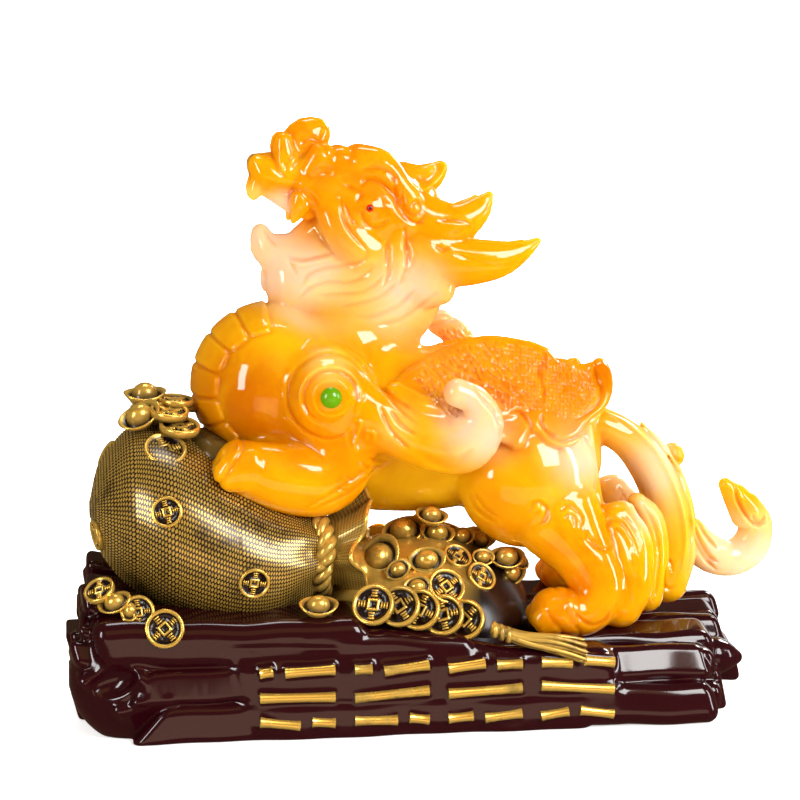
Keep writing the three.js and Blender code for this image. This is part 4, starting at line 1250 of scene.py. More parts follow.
# %% [markdown]
# ## The sack's mouth and the heap
# Past the rope the cloth opens in a frilled mouth, and the treasure spills out of it in a heap. The
# heap's ground is clay again, because everything on it is half sunk in one casting.

# %% Heap of treasure
HEAP_CENTRE = [2, -10, 47]
HEAP_RADII = [60, 65, 44]
HEAP_ROOT = [[-46, -34, 82, 9, 13], [-32, -30, 76, 12, 20]]
HEAP_FACES = 60000
HEAP_GILDING = 0.85
BARE_RIGHT, BARE_FADE = 28, 25
BARE_FOOT, FOOT_FADE = 60, 12
heap_clay = Clay((-70, -90, 30), (80, 70, 110), CLOTH_GRAIN)
heap_clay.add(egg(heap_clay, HEAP_CENTRE, HEAP_RADII), 1)
heap_clay.add(limb(heap_clay, HEAP_ROOT), 6)
heap = skin(heap_clay, "treasure_heap", HEAP_FACES)
x, _, z = vertex_places(heap.data).T / MM
gold_left = np.clip((BARE_RIGHT - x) / BARE_FADE, 0, 1) * np.clip((z - BARE_FOOT) / FOOT_FADE, 0, 1)
store(heap.data, "gilding", HEAP_GILDING * gold_left)
dress(heap, "treasure_base")
heap.data.materials.append(gilded)
print("the heap has", len(heap.data.polygons), "faces")


# %% Frilled mouth of the sack
HEM_THICKNESS = 1.8
HEM_AROUND, HEM_RINGS = 220, 30
HEM_FOOT = (-53, -34, 86)
HEM_NECK, HEM_FLARE = (19, 16), (14, 13)
HEM_RISE = 4
RIM_X, RIM_TONGUE, TONGUE_WIDTH, SCALLOP = -29, 14, 0.33, 2.2


def hem_ring(share, inset=0):
    """One ring of the frilled mouth, at a share of the way from the rope to its rim."""
    turn = np.arange(HEM_AROUND) / HEM_AROUND * math.tau
    front = np.minimum(turn, math.tau - turn)
    rim_x = RIM_X - RIM_TONGUE * np.exp(-((front / TONGUE_WIDTH) ** 2)) + SCALLOP * np.cos(5 * turn)
    folds = 1 + share * (0.11 * np.cos(7 * turn + 0.6) + 0.05 * np.cos(11 * turn))
    across, up = (
        (neck + flare * share**1.4) * folds - inset for neck, flare in zip(HEM_NECK, HEM_FLARE)
    )
    x = HEM_FOOT[0] + (rim_x - HEM_FOOT[0]) * share
    y = HEM_FOOT[1] + HEM_RISE * share - across * np.cos(turn)
    z = HEM_FOOT[2] + HEM_RISE * share + up * np.sin(turn)
    return np.stack([x, y, z], 1)


hem_points, hem_gilding = [], []
outside, inside = np.linspace(0, 1, HEM_RINGS), np.linspace(1, 0.2, HEM_RINGS)
for inset, shares in ((0, outside), (HEM_THICKNESS, inside)):
    for ring, share in enumerate(shares):
        knots = np.zeros(HEM_AROUND)
        knots[::2] = ring % 2
        hem_points.append(hem_ring(share, inset - KNOT * knots * (1 if inset == 0 else -1)))
        hem_gilding.append(0.15 + 0.75 * knots)
faces = []
for ring in range(len(hem_points) - 1):
    row = ring * HEM_AROUND + np.arange(HEM_AROUND)
    after = np.roll(row, -1)
    faces += np.stack([row, after, after + HEM_AROUND, row + HEM_AROUND], 1).tolist()
mesh = bpy.data.meshes.new("sack_mouth")
mesh.from_pydata((np.concatenate(hem_points) * MM).tolist(), [], faces)
store(mesh, "gilding", np.concatenate(hem_gilding))
mesh.shade_smooth()
mesh.materials.append(gilded)
dress(new_piece("sack_mouth", mesh), "treasure_base")
print("the mouth has", len(mesh.polygons), "faces")


# %% Places on the heap
def on_heap(x, y):
    """The heap's surface over a point, and the way it faces."""
    away_x, away_y = (x - HEAP_CENTRE[0]) / HEAP_RADII[0], (y - HEAP_CENTRE[1]) / HEAP_RADII[1]
    share = 1 - away_x**2 - away_y**2
    z = HEAP_CENTRE[2] + HEAP_RADII[2] * math.sqrt(max(0.02, share))
    facing = Vector([(p - c) / r**2 for p, c, r in zip((x, y, z), HEAP_CENTRE, HEAP_RADII)])
    return Vector((x, y, z)), facing.normalized()


# %% [markdown]
# ## Coins and ingots
# Both repeat, so each is modelled once and Geometry Nodes set it on a cloud of points. Every point
# carries the piece's turn and size. A coin has a raised rim, a square hole with a raised border and
# four marks that are not letters. An ingot is a boat with a dome between its raised ends.


# %% Coin
def template(name, points, faces, gold):
    """A mesh object that is only copied, with its share of gold at each point."""
    mesh = bpy.data.meshes.new(name)
    mesh.from_pydata([tuple(p) for p in points], [], faces)
    store(mesh, "gilding", gold)
    return new_piece(name, mesh)


def coin_mesh():
    """A coin of radius 1 that faces up, with how much gold each point holds."""
    around = 32
    turn = np.arange(around) / around * 2 * math.pi
    square = 1 / np.maximum(np.abs(np.cos(turn)), np.abs(np.sin(turn)))
    rings = [  # radius, whether it follows the square, height, gold
        (0.17, 1, -0.06, 0.0),
        (0.19, 1, 0.1, 1.0),
        (0.27, 1, 0.1, 1.0),
        (0.30, 1, 0.0, 0.0),
        (0.80, 0, 0.0, 0.0),
        (0.84, 0, 0.13, 0.8),
        (0.95, 0, 0.15, 1.0),
        (1.00, 0, 0.09, 1.0),
        (0.98, 0, -0.25, 0.1),
    ]
    points, gold = [(0, 0, -0.06)], [0.0]
    for radius, squared, height, gilt in rings:
        size = radius * square if squared else np.full(around, radius)
        points += [(s * math.cos(t), s * math.sin(t), height) for s, t in zip(size, turn)]
        gold += [gilt] * around
    faces = [(0, 1 + i, 1 + (i + 1) % around) for i in range(around)]
    for ring in range(len(rings) - 1):
        base = 1 + ring * around
        for i in range(around):
            after = (i + 1) % around
            faces.append((base + i, base + around + i, base + around + after, base + after))
    faces.append(tuple(1 + (len(rings) - 1) * around + i for i in range(around))[::-1])
    for quarter in range(4):
        for stroke in range(3):
            turned = quarter * math.pi / 2
            out, wide = 0.42 + 0.13 * stroke, 0.16 - 0.03 * (stroke % 2)
            first = len(points)
            for up in (-0.02, 0.07):
                for a, b in ((-1, -1), (1, -1), (1, 1), (-1, 1)):
                    x, y = out + a * 0.035, b * wide
                    points.append(
                        (
                            x * math.cos(turned) - y * math.sin(turned),
                            x * math.sin(turned) + y * math.cos(turned),
                            up,
                        )
                    )
                    gold.append(0.9)
            faces.append(tuple(first + i for i in (4, 5, 6, 7)))
            for i in range(4):
                j = (i + 1) % 4
                faces.append((first + i, first + j, first + 4 + j, first + 4 + i))
    return template("coin", points, faces, gold)


# %% Ingot
def ingot_mesh():
    """A boat-shaped ingot one unit long: a hull, a brim that rises at both ends, and a dome."""
    around = 28
    turn = np.arange(around) / around * 2 * math.pi
    rise = np.cos(turn) ** 2
    rings = [  # half length, half width, height, extra height at the ends, gold
        (0.16, 0.12, -0.26, 0.0, 0.1),
        (0.32, 0.24, -0.16, 0.02, 0.15),
        (0.46, 0.34, 0.0, 0.05, 0.5),
        (0.50, 0.37, 0.06, 0.06, 1.0),
        (0.46, 0.34, 0.08, 0.06, 0.9),
        (0.36, 0.28, 0.0, 0.02, 0.0),
        (0.30, 0.26, 0.02, 0.0, 0.0),
        (0.29, 0.25, 0.12, 0.0, 0.2),
        (0.24, 0.21, 0.22, 0.0, 0.5),
        (0.15, 0.13, 0.29, 0.0, 0.9),
        (0.06, 0.05, 0.32, 0.0, 1.0),
    ]
    points, gold = [], []
    for long, wide, height, extra, gilt in rings:
        points += [
            (long * math.cos(t), wide * math.sin(t), height + extra * r) for t, r in zip(turn, rise)
        ]
        gold += [gilt] * around
    faces = []
    for ring in range(len(rings) - 1):
        base = ring * around
        for i in range(around):
            after = (i + 1) % around
            faces.append((base + i, base + after, base + around + after, base + around + i))
    faces.append(tuple(range(around))[::-1])
    faces.append(tuple((len(rings) - 1) * around + i for i in range(around)))
    return template("ingot", points, faces, gold)


# %% A tree that sets copies on points
def copies_tree():
    """Geometry Nodes: a copy of a piece on each point, turned and sized by the point's attributes."""
    tree = bpy.data.node_groups.new("copies on points", "GeometryNodeTree")
    tree.is_modifier = True
    for name, kind in (
        ("Points", "NodeSocketGeometry"),
        ("Piece", "NodeSocketObject"),
        ("Size", "NodeSocketFloat"),
        ("Finish", "NodeSocketMaterial"),
    ):
        tree.interface.new_socket(name, in_out="INPUT", socket_type=kind)
    tree.interface.new_socket("Geometry", in_out="OUTPUT", socket_type="NodeSocketGeometry")
    given = add_node(tree, "NodeGroupInput").outputs
    piece = add_node(tree, "GeometryNodeObjectInfo", {"Object": given["Piece"]})
    turned = add_node(
        tree, "GeometryNodeInputNamedAttribute", {"Name": "turn"}, data_type="FLOAT_VECTOR"
    )
    sized = add_node(tree, "GeometryNodeInputNamedAttribute", {"Name": "size"}, data_type="FLOAT")
    scale = add_node(
        tree, "ShaderNodeMath", {0: given["Size"], 1: sized.outputs[0]}, operation="MULTIPLY"
    )
    spread = add_node(
        tree,
        "GeometryNodeInstanceOnPoints",
        {
            "Points": given["Points"],
            "Instance": piece.outputs["Geometry"],
            "Rotation": turned.outputs[0],
            "Scale": scale.outputs[0],
        },
    )
    real = add_node(tree, "GeometryNodeRealizeInstances", {"Geometry": spread.outputs[0]})
    smooth = add_node(tree, "GeometryNodeSetShadeSmooth", {"Geometry": real.outputs[0]})
    painted = add_node(
        tree,
        "GeometryNodeSetMaterial",
        {"Geometry": smooth.outputs[0], "Material": given["Finish"]},
    )
    add_node(tree, "NodeGroupOutput", {0: painted.outputs[0]})
    return tree


def run_tree(name, mesh, tree, settings):
    """Runs a tree on a mesh and returns the result as a plain mesh object."""
    made = new_piece(name, mesh)
    modifier = made.modifiers.new(name, "NODES")
    modifier.node_group = tree
    sockets = {i.name: i.identifier for i in tree.interface.items_tree if i.in_out == "INPUT"}
    for key, value in settings.items():
        modifier[sockets[key]] = value
    work_in(made)
    return made


def set_copies(name, piece, places, size):
    """Copies of a piece at places, each a point, a facing, a heading in degrees and a share of size."""
    mesh = bpy.data.meshes.new(name + "_points")
    mesh.from_pydata([tuple(Vector(p) * MM) for p, *_ in places], [], [])
    turns = []
    for _, facing, heading, _ in places:
        upright = Vector(facing).to_track_quat("Z", "Y").to_matrix()
        turns += list((upright @ Matrix.Rotation(math.radians(heading), 3, "Z")).to_euler())
    mesh.attributes.new("turn", "FLOAT_VECTOR", "POINT").data.foreach_set("vector", turns)
    store(mesh, "size", [share for *_, share in places])
    made = run_tree(name, mesh, COPIES, {"Piece": piece, "Size": size * MM, "Finish": gilded})
    dress(made, "treasure_base")
    print(name, len(made.data.polygons), "faces")


# %% Where the coins and ingots lie
COPIES = copies_tree()
COIN_RADIUS = 8.2
INGOT_LENGTH = 24
FRONT_OF_HEAP = [  # x, y, heading, share of an ingot's length
    (-6, -15, 25, 1.05),
    (-22, -40, 70, 1.15),
    (1, -49, 10, 0.85),
    (11, -20, -15, 0.8),
    (-6, -63, 20, 0.65),
    (24, -18, 10, 0.65),
    (35, -12, 30, 0.6),
    (32, -37, 0, 0.55),
    (-14, -52, 40, 0.6),
]
BACK_OF_HEAP = [
    (8, 16, 70, 1.0),
    (36, 14, 20, 1.0),
    (-12, 34, 50, 1.0),
    (-28, 8, 30, 1.0),
    (14, 44, 0, 0.9),
]
INGOT_STAND, COIN_STAND, SACK_COIN_STAND = 1.5, 1.2, 0.6
TIPPED_FORWARD, TIPPED_BACK = -0.75, 0.3
ingots = []
for x, y, heading, share in FRONT_OF_HEAP + BACK_OF_HEAP:
    point, facing = on_heap(x, y)
    tip = Vector((-0.1, TIPPED_FORWARD if y < 0 else TIPPED_BACK, 0))
    ingots.append((point + INGOT_STAND * facing, facing + tip, heading, share))
ingots += [
    ((46, -34, 80), (0.1, -0.6, 0.8), 5, 0.85),
    ((49, -30, 71), (0.2, -0.8, 0.5), 20, 0.75),
    ((55, -26, 76), (0.3, -0.5, 0.8), 60, 0.55),
    ((7, -26, 102), (0.1, -0.5, 0.9), -20, 0.75),
    ((-142, -9, 167), (0, -0.3, 1), 10, 0.95),
    ((-145, -24, 158), (-0.3, -0.6, 0.8), 50, 1.0),
    ((-140, 6, 160), (-0.2, 0.3, 1), 80, 1.0),
    ((-160, -68, 70), (-0.35, -0.5, 0.7), 30, 0.75),
    ((-153, -71, 67), (0, -0.7, 0.5), 80, 0.55),
    ((-58, -73, 66), (0, -0.45, 0.9), 0, 0.85),
]
coins = []
for x, y, size in (
    (18, -43, 0.95),
    (29, -52, 1.0),
    (9, -63, 1.2),
    (2, -2, 1.1),
    (22, 2, 1.0),
    (12, 34, 1.2),
    (30, 30, 1.1),
    (-6, 52, 1.2),
    (20, 52, 1.0),
):
    point, facing = on_heap(x, y)
    coins.append((point + COIN_STAND * facing, facing + Vector((0.1, -0.3, 0)), 20 + x, size))
STRING_OF_COINS = ((-30.4, 67.3), (-17, 65.8), (-6.5, 63.5), (6, 60), (17, 57))
for i, (x, z) in enumerate(STRING_OF_COINS):
    coins.append(((x, i - 76, z), (-0.35, -0.8, 0.5), 3 * x, 1.33))
for point, size, lean in (
    ((-126, -12, 165), 1.15, -0.1),
    ((-130, -25, 161), 1.25, -0.2),
    ((-125, -31, 154), 1.3, -0.25),
    ((-133, -41, 143.5), 1.35, -0.7),
    ((-134, -8, 157), 1.3, -0.1),
    ((-122, -2, 160), 1.2, 0.1),
    ((-138, 8, 153), 1.3, 0.3),
):
    coins.append((point, (0.08, lean, 0.9), 15, size))
coins += [
    ((-162, -14, 137), (-0.85, -0.2, 0.5), 30, 1.0),
    ((-168, -62, 76), (-0.4, -0.5, 0.8), 30, 1.0),
    ((-149, -73, 66.5), (-0.2, -0.85, 0.4), 10, 1.05),
    ((-136, -81, 59.5), (-0.1, -0.95, 0.25), 40, 1.2),
]


def on_sack(share, degrees):
    """A point of the sack and the way it faces, at a share along it and an angle over its front."""
    rows = smooth_rows(SACK, 1.0)
    spot = int(share * (len(rows) - 1))
    angle = math.radians(degrees)
    rim = [
        Vector((r[0], r[1] - r[4] * math.cos(angle), r[2] + r[3] * math.sin(angle)))
        for r in (rows[spot - 2], rows[spot], rows[spot + 2])
    ]
    row = rows[spot]
    round_step = Vector((0, row[4] * math.sin(angle), row[3] * math.cos(angle)))
    return rim[1], (rim[2] - rim[0]).cross(round_step).normalized()


for share, degrees in ((0.33, 16), (0.67, -8), (0.04, -36)):
    point, facing = on_sack(share, degrees)
    coins.append((point + facing * SACK_COIN_STAND, facing, degrees, 0.98))
coin, ingot = coin_mesh(), ingot_mesh()
set_copies("coins", coin, coins, COIN_RADIUS)
set_copies("ingots", ingot, ingots, INGOT_LENGTH)
for piece in (coin, ingot):
    bpy.data.objects.remove(piece)

# %% [markdown]
# ## Rope, tassel and sign strokes
# These follow paths. One tree lays round strands side by side along a curve and twists them, and it
# makes the rope, the tassel's threads and, with a single flat strand, the strokes of the sign.


# %% A tree that follows paths
def strand_tree():
    """Geometry Nodes: strands that twist about each path of a mesh of edges."""
    tree = bpy.data.node_groups.new("strands along paths", "GeometryNodeTree")
    tree.is_modifier = True
    for name, kind, value in (
        ("Paths", "NodeSocketGeometry", None),
        ("Strand radius", "NodeSocketFloat", 0.001),
        ("Strands", "NodeSocketInt", 1),
        ("Twist spacing", "NodeSocketFloat", 0.01),
        ("Finish", "NodeSocketMaterial", None),
    ):
        socket = tree.interface.new_socket(name, in_out="INPUT", socket_type=kind)
        if value is not None:
            socket.default_value = value
    tree.interface.new_socket("Geometry", in_out="OUTPUT", socket_type="NodeSocketGeometry")
    given = add_node(tree, "NodeGroupInput").outputs
    curve = add_node(tree, "GeometryNodeMeshToCurve", {"Mesh": given["Paths"]})
    copies = add_node(
        tree,
        "GeometryNodeDuplicateElements",
        {"Geometry": curve.outputs[0], "Amount": given["Strands"]},
        domain="SPLINE",
    )
    parameter = add_node(tree, "GeometryNodeSplineParameter")
    turns = add_node(
        tree,
        "ShaderNodeMath",
        {0: parameter.outputs["Length"], 1: given["Twist spacing"]},
        operation="DIVIDE",
    )
    own = add_node(
        tree,
        "ShaderNodeMath",
        {0: copies.outputs["Duplicate Index"], 1: given["Strands"]},
        operation="DIVIDE",
    )
    both = add_node(
        tree, "ShaderNodeMath", {0: turns.outputs[0], 1: own.outputs[0]}, operation="ADD"
    )
    angle = add_node(
        tree, "ShaderNodeMath", {0: both.outputs[0], 1: math.tau}, operation="MULTIPLY"
    )
    tangent = add_node(tree, "GeometryNodeInputTangent")
    normal = add_node(tree, "GeometryNodeInputNormal")
    spun = add_node(
        tree,
        "ShaderNodeVectorRotate",
        {
            "Vector": normal.outputs[0],
            "Axis": tangent.outputs[0],
            "Angle": angle.outputs[0],
        },
    )
    alone = add_node(
        tree, "ShaderNodeMath", {0: given["Strands"], 1: 1.5}, operation="GREATER_THAN"
    )
    out = add_node(
        tree, "ShaderNodeMath", {0: given["Strand radius"], 1: alone.outputs[0]}, operation="MULTIPLY"
    )
    offset = add_node(
        tree,
        "ShaderNodeVectorMath",
        {0: spun.outputs[0], "Scale": out.outputs[0]},
        operation="SCALE",
    )
    moved = add_node(
        tree, "GeometryNodeSetPosition", {"Geometry": copies.outputs[0], "Offset": offset.outputs[0]}
    )
    circle = add_node(
        tree,
        "GeometryNodeCurvePrimitiveCircle",
        {"Resolution": 8, "Radius": given["Strand radius"]},
    )
    thick = add_node(tree, "GeometryNodeInputNamedAttribute", {"Name": "thick"}, data_type="FLOAT")
    swept = add_node(
        tree,
        "GeometryNodeCurveToMesh",
        {
            "Curve": moved.outputs[0],
            "Profile Curve": circle.outputs[0],
            "Scale": thick.outputs[0],
            "Fill Caps": True,
        },
    )
    real = add_node(tree, "GeometryNodeRealizeInstances", {"Geometry": swept.outputs[0]})
    smooth = add_node(tree, "GeometryNodeSetShadeSmooth", {"Geometry": real.outputs[0]})
    painted = add_node(
        tree,
        "GeometryNodeSetMaterial",
        {"Geometry": smooth.outputs[0], "Material": given["Finish"]},
    )
    add_node(tree, "NodeGroupOutput", {0: painted.outputs[0]})
    return tree


def lay_strands(name, paths, radius, gilt, strands=1, closed=False):
    """Strands along paths. Each path is a list of rows x, y, z and a share of the radius."""
    points, edges, thick = [], [], []
    for path in paths:
        first = len(points)
        points += [tuple(Vector(row[:3]) * MM) for row in path]
        thick += [row[3] for row in path]
        edges += [(first + i, first + i + 1) for i in range(len(path) - 1)]
        if closed:
            edges.append((first + len(path) - 1, first))
    mesh = bpy.data.meshes.new(name + "_paths")
    mesh.from_pydata(points, edges, [])
    store(mesh, "thick", thick)
    store(mesh, "gilding", [gilt] * len(points))
    made = run_tree(
        name,
        mesh,
        STRANDS,
        {
            "Strand radius": radius * MM,
            "Strands": strands,
            "Twist spacing": TWIST_SPACING * MM,
            "Finish": gilded,
        },
    )
    normals = np.zeros(len(made.data.vertices) * 3, np.float32)
    made.data.vertices.foreach_get("normal", normals)
    # gold paint with painted light: more gold where a strand faces up, front or back, less where it faces
    # down, as if lit from above
    facing = np.abs(normals[1::3]) * 0.6 + normals[2::3] * 0.8
    gilt_with_painted_light = gilt * np.clip(0.3 + 1.1 * facing, 0, 1)
    made.data.attributes["gilding"].data.foreach_set("value", gilt_with_painted_light)
    dress(made, "treasure_base")
    print(name, len(made.data.polygons), "faces")


STRANDS = strand_tree()
TWIST_SPACING = 20

# %% Rope round the sack's neck
ROPE_STRAND_RADIUS = 2.7
ROPE_STEPS = 72
neck = SACK[-1]
loop = []
for step in range(ROPE_STEPS):
    angle = step / ROPE_STEPS * math.tau
    loop.append(
        (
            neck[0] + 1.5 * math.sin(3 * angle),
            neck[1] - (neck[4] + 1) * math.cos(angle),
            neck[2] + (neck[3] + 1) * math.sin(angle),
            1.0,
        )
    )
lay_strands("rope", [loop], ROPE_STRAND_RADIUS, 0.7, strands=3, closed=True)

# %% Rolled rim of the sack's mouth
RIM_ROLL_RADIUS = 1.1
rim = [(*place, 1.0) for place in hem_ring(1.0, HEM_THICKNESS / 2)[::2]]
lay_strands("hem_cord", [rim], RIM_ROLL_RADIUS, 1.0, closed=True)

# %% Tassel
TASSEL = [[30, -79, 54], [44, -81, 49], [60, -82, 45.5], [78, -82, 40]]
TASSEL_THREADS, TASSEL_FAN, TASSEL_THREAD_RADIUS = 16, 7, 2.2
BINDINGS, BINDING_STEPS, BINDING_SIZE, BINDING_RADIUS = 3, 20, 3.4, 1.3
TASSEL_SEED = 7
middle_line = smooth_rows([[*row, 1] for row in TASSEL], 4)[:, :3]
waves = np.random.default_rng(TASSEL_SEED)
threads = []
for i in range(TASSEL_THREADS):
    turn = 2.4 * i
    out = math.sqrt((i + 0.5) / TASSEL_THREADS)
    wave = waves.uniform(0, math.tau)
    path = []
    for share, (x, y, z) in zip(np.linspace(0, 1, len(middle_line)), middle_line):
        fan = 1.5 + TASSEL_FAN * share**1.3
        curl = 0.9 * share * math.sin(wave + 7 * share)
        side, up = out * fan * math.cos(turn), 0.8 * out * fan * math.sin(turn)
        path.append((x, y + side, z + up + curl, 1.0 - 0.55 * share))
    threads.append(path)
lay_strands("tassel", threads, TASSEL_THREAD_RADIUS, 0.65)
turns = [k / BINDING_STEPS * math.tau for k in range(BINDING_STEPS)]
bindings = []
for x, y, z in middle_line[1 : 1 + BINDINGS]:
    bindings.append(
        [(x - 2, y + BINDING_SIZE * math.cos(t), z + BINDING_SIZE * math.sin(t), 1.0) for t in turns]
    )
lay_strands("tassel_head", bindings, BINDING_RADIUS, 0.9, closed=True)

# %% Sign strokes
lay_strands("sign_strokes", strokes, STROKE_WIDTH / 2, 1.0)

# %% [markdown]
# ## Amber, yellow and cream
# The resin is poured from several pots, so colour drifts through it in clouds. Noise alone would put
# them anywhere, so every point of the mesh gets a tint: amber everywhere, then soft clouds of other
# colours, each with a centre, a radius and a strength. A few clouds also hold painted light and
# painted shade, marked in the table. The grooves are painted darker as painted shade, and a veil of
# noise in the material keeps the clouds from looking sprayed.

# %% Tint of the resin
CREAM, PALE, YELLOW = "#FDEECB", "#FFDE70", "#FFD010"
AMBER, ORANGE, OCHRE = "#FFB600", "#FA9E00", "#E69A00"
RUST, BROWN = "#D98400", "#C87400"
CLOUDS = [  # x, distance from the middle plane, z, radius, colour, strength
    # the ochre and rust clouds on the chest are partly the resin's own colour and partly painted shade on its
    # dim left side
    (-86, 12, 168, 34, OCHRE, 0.9),
    (-78, 40, 160, 30, RUST, 1.0),
    (-92, 12, 138, 20, AMBER, 1.0),
    (-62, 20, 198, 26, YELLOW, 0.7),
    (-50, 50, 170, 26, AMBER, 0.8),
    (-50, 52, 190, 11, PALE, 0.9),
    (-30, 20, 290, 40, ORANGE, 0.7),
    (-65, 8, 286, 9, YELLOW, 0.8),
    (-84, 8, 271, 6, PALE, 0.9),
    (-70, 7, 266, 8, CREAM, 0.9),
    (-72, 0, 235, 18, CREAM, 1.0),
    (-81, 0, 250, 10, CREAM, 1.0),
    (-52, 12, 222, 21, CREAM, 0.9),
    (-40, 8, 250, 12, PALE, 0.5),
    (-24, 16, 220, 20, PALE, 0.9),
    (-4, 14, 218, 20, CREAM, 0.85),
    (4, 8, 205, 16, PALE, 0.8),
    (-46, 10, 204, 14, AMBER, 0.8),
    (46, 14, 238, 24, YELLOW, 0.3),
    (6, 4, 278, 10, YELLOW, 0.5),
    (36, 12, 266, 12, AMBER, 0.6),
    (30, 56, 158, 20, CREAM, 1.0),
    (20, 57, 171, 10, CREAM, 1.0),
    (22, 56, 197, 24, CREAM, 1.0),
    (-14, 50, 154, 10, PALE, 0.7),
    (60, 34, 175, 34, ORANGE, 1.0),
    (20, 30, 180, 26, ORANGE, 0.9),
    (102, 28, 172, 12, BROWN, 0.9),
    (84, 44, 146, 9, RUST, 0.7),
    (50, 46, 144, 9, RUST, 0.7),
    (50, 40, 118, 30, YELLOW, 0.3),
    (36, 46, 106, 18, ORANGE, 0.6),
    # partly cream resin and partly a painted highlight: the key softbox's reflection on the rump
    (77, 34, 134, 18, CREAM, 1.0),
    (76, 50, 56, 26, ORANGE, 1.0),
    (92, 46, 80, 26, ORANGE, 1.0),
    # partly the resin's yellow and partly painted light that lifts the shaded belly
    (0, 20, 118, 34, YELLOW, 0.9),
    (-45, 50, 134, 22, ORANGE, 0.7),
    (134, 0, 96, 50, YELLOW, 0.7),
    (126, 8, 118, 28, PALE, 1.0),
    (132, 2, 124, 16, CREAM, 0.9),
    # painted light: the far fetlock, seen through the gap between tail and leg, is cream as if lit through
    # the resin, though it lies in shade
    (124, 40, 104, 12, CREAM, 1.0),
    (182, 9, 72, 24, CREAM, 1.0),
    (192, 9, 88, 12, PALE, 0.8),
    (186, 8, 104, 13, AMBER, 1.0),
    (150, 8, 126, 8, AMBER, 1.0),
]


GROOVE_DEPTH = 0.8
GROOVE_PAINTED_SHADE = (0.92, 0.66, 0.35, 1)  # painted shade: what is left of the light in a groove
RESIN_DEPTH = (0.78, 0.67, 0.76, 1)  # what is left of it in a finger's thickness of resin


def tint(mesh, bulge):
    """Gives every point its colour in linear light, with painted shade where the surface lies in a groove."""
    places = vertex_places(mesh) / MM
    places[:, 1] = np.abs(places[:, 1])
    tints = np.tile(np.array(colour(AMBER)), (len(places), 1))
    for x, y, z, radius, name, strength in CLOUDS:
        away = np.linalg.norm(places - (x, y, z), axis=1) / radius
        share = (strength * np.exp(-(away**4) / 1.5))[:, None]
        tints = tints * (1 - share) + np.array(colour(name)) * share
    # painted shade: the colour is darkened in the grooves, where the carving's shade falls
    hollow = np.clip(-bulge / GROOVE_DEPTH, 0, 1)[:, None]
    tints *= 1 - hollow * (1 - np.array(GROOVE_PAINTED_SHADE))
    tints *= RESIN_DEPTH
    mesh.attributes.new("tint", "FLOAT_COLOR", "POINT").data.foreach_set("color", tints.ravel())


def bulges(clay, places, reach):
    """How far each place stands out of its surroundings: above zero on a ridge, below in a groove."""
    steps = np.vstack([np.eye(3), -np.eye(3)]) * reach
    return sum(read_clay(clay, places + step) for step in steps) / 6 - read_clay(clay, places)


GROOVE_REACH = 2.0
tint(pixiu.data, bulges(animal, vertex_places(pixiu.data) / MM, GROOVE_REACH))
print("tinted with", len(CLOUDS), "clouds")

# %% [markdown]
# ## Resin and glass
# The animal is polyester resin, cast and polished: about as clear as honey, with an IOR of 1.5. It
# could be a see-through material, but it is a hand's width thick, so what the eye gets is light that
# goes in, spreads and comes out amber. Subsurface light does that, furthest for red and least for blue.
# The beads are glass, smooth enough to show each lamp as a clear spot. The base is the same resin as
# the animal, filled with a dark maroon pigment and sprayed with gloss lacquer: nearly black, with long
# soft reflections on the planks.

# %% Amber resin
SWIRLS_PER_METRE = 28  # a veil of yellow resin is about 36 mm across
amber, tree = new_material("cast polyester resin, amber")
given_tint = add_node(tree, "ShaderNodeAttribute", attribute_name="tint")
place = add_node(tree, "ShaderNodeTexCoord")
swirl = add_node(
    tree,
    "ShaderNodeTexNoise",
    {"Vector": place.outputs["Object"], "Scale": SWIRLS_PER_METRE, "Detail": 3, "Distortion": 1.2},
)
veil = add_node(
    tree,
    "ShaderNodeMapRange",
    {"Value": swirl.outputs["Fac"], "From Min": 0.42, "From Max": 0.72, "To Max": 0.28},
)
clouded = add_node(
    tree,
    "ShaderNodeMix",
    {"Factor": veil.outputs[0], 6: given_tint.outputs["Color"], 7: colour(YELLOW)},
    data_type="RGBA",
)
shader = add_node(
    tree,
    "ShaderNodeBsdfPrincipled",
    {
        "Base Color": clouded.outputs[2],
        "Roughness": 0.06,
        "IOR": 1.5,
        "Subsurface Weight": 0.85,
        "Subsurface Radius": (1.0, 0.7, 0.15),
        "Subsurface Scale": 0.013,
    },
)
add_node(tree, "ShaderNodeOutputMaterial", {"Surface": shader.outputs[0]})
pixiu.data.materials.append(amber)
print("made", amber.name)

# %% Glass beads
glasses = {}
for name, text in (("green", "#5E9A0C"), ("red", "#C41A08"), ("black", "#0A0606")):
    glasses[name], tree = new_material(f"{name} glass")
    shader = add_node(
        tree,
        "ShaderNodeBsdfPrincipled",
        {"Base Color": colour(text), "Roughness": 0.05, "IOR": 1.52},
    )
    add_node(tree, "ShaderNodeOutputMaterial", {"Surface": shader.outputs[0]})
PUPIL = 0.93  # the share of a bead's facing past which it is black
for node, ball in beads.items():
    if BEADS[node] == "green_bead":
        ball.data.materials.append(glasses["green"])
        continue
    ball.data.materials.append(glasses["red"])
    ball.data.materials.append(glasses["black"])
    for face in ball.data.polygons:
        face.material_index = int(abs(face.normal.y) > PUPIL)
print("made", ", ".join(glasses), "glass")

# %% Dark resin
dark, tree = new_material("cast polyester resin, dark")
shader = add_node(
    tree,
    "ShaderNodeBsdfPrincipled",
    {"Base Color": colour("#26040A"), "Roughness": 0.12, "IOR": 1.5},
)
add_node(tree, "ShaderNodeOutputMaterial", {"Surface": shader.outputs[0]})
rock.data.materials.append(dark)
print("made", dark.name)

# %% [markdown]
# ## Floor, light and camera
# The photograph was taken in a white studio from a little to the left and above. A flat floor would
# end in a horizon, so the paper is bent up into a wall behind the figure. Gloss shows whatever stands
# around it: a white floor would turn the dark lacquer grey and the amber pale, so the paper lights the
# figure but isn't mirrored in it, and neither is the lamp that fills the shadows from below.

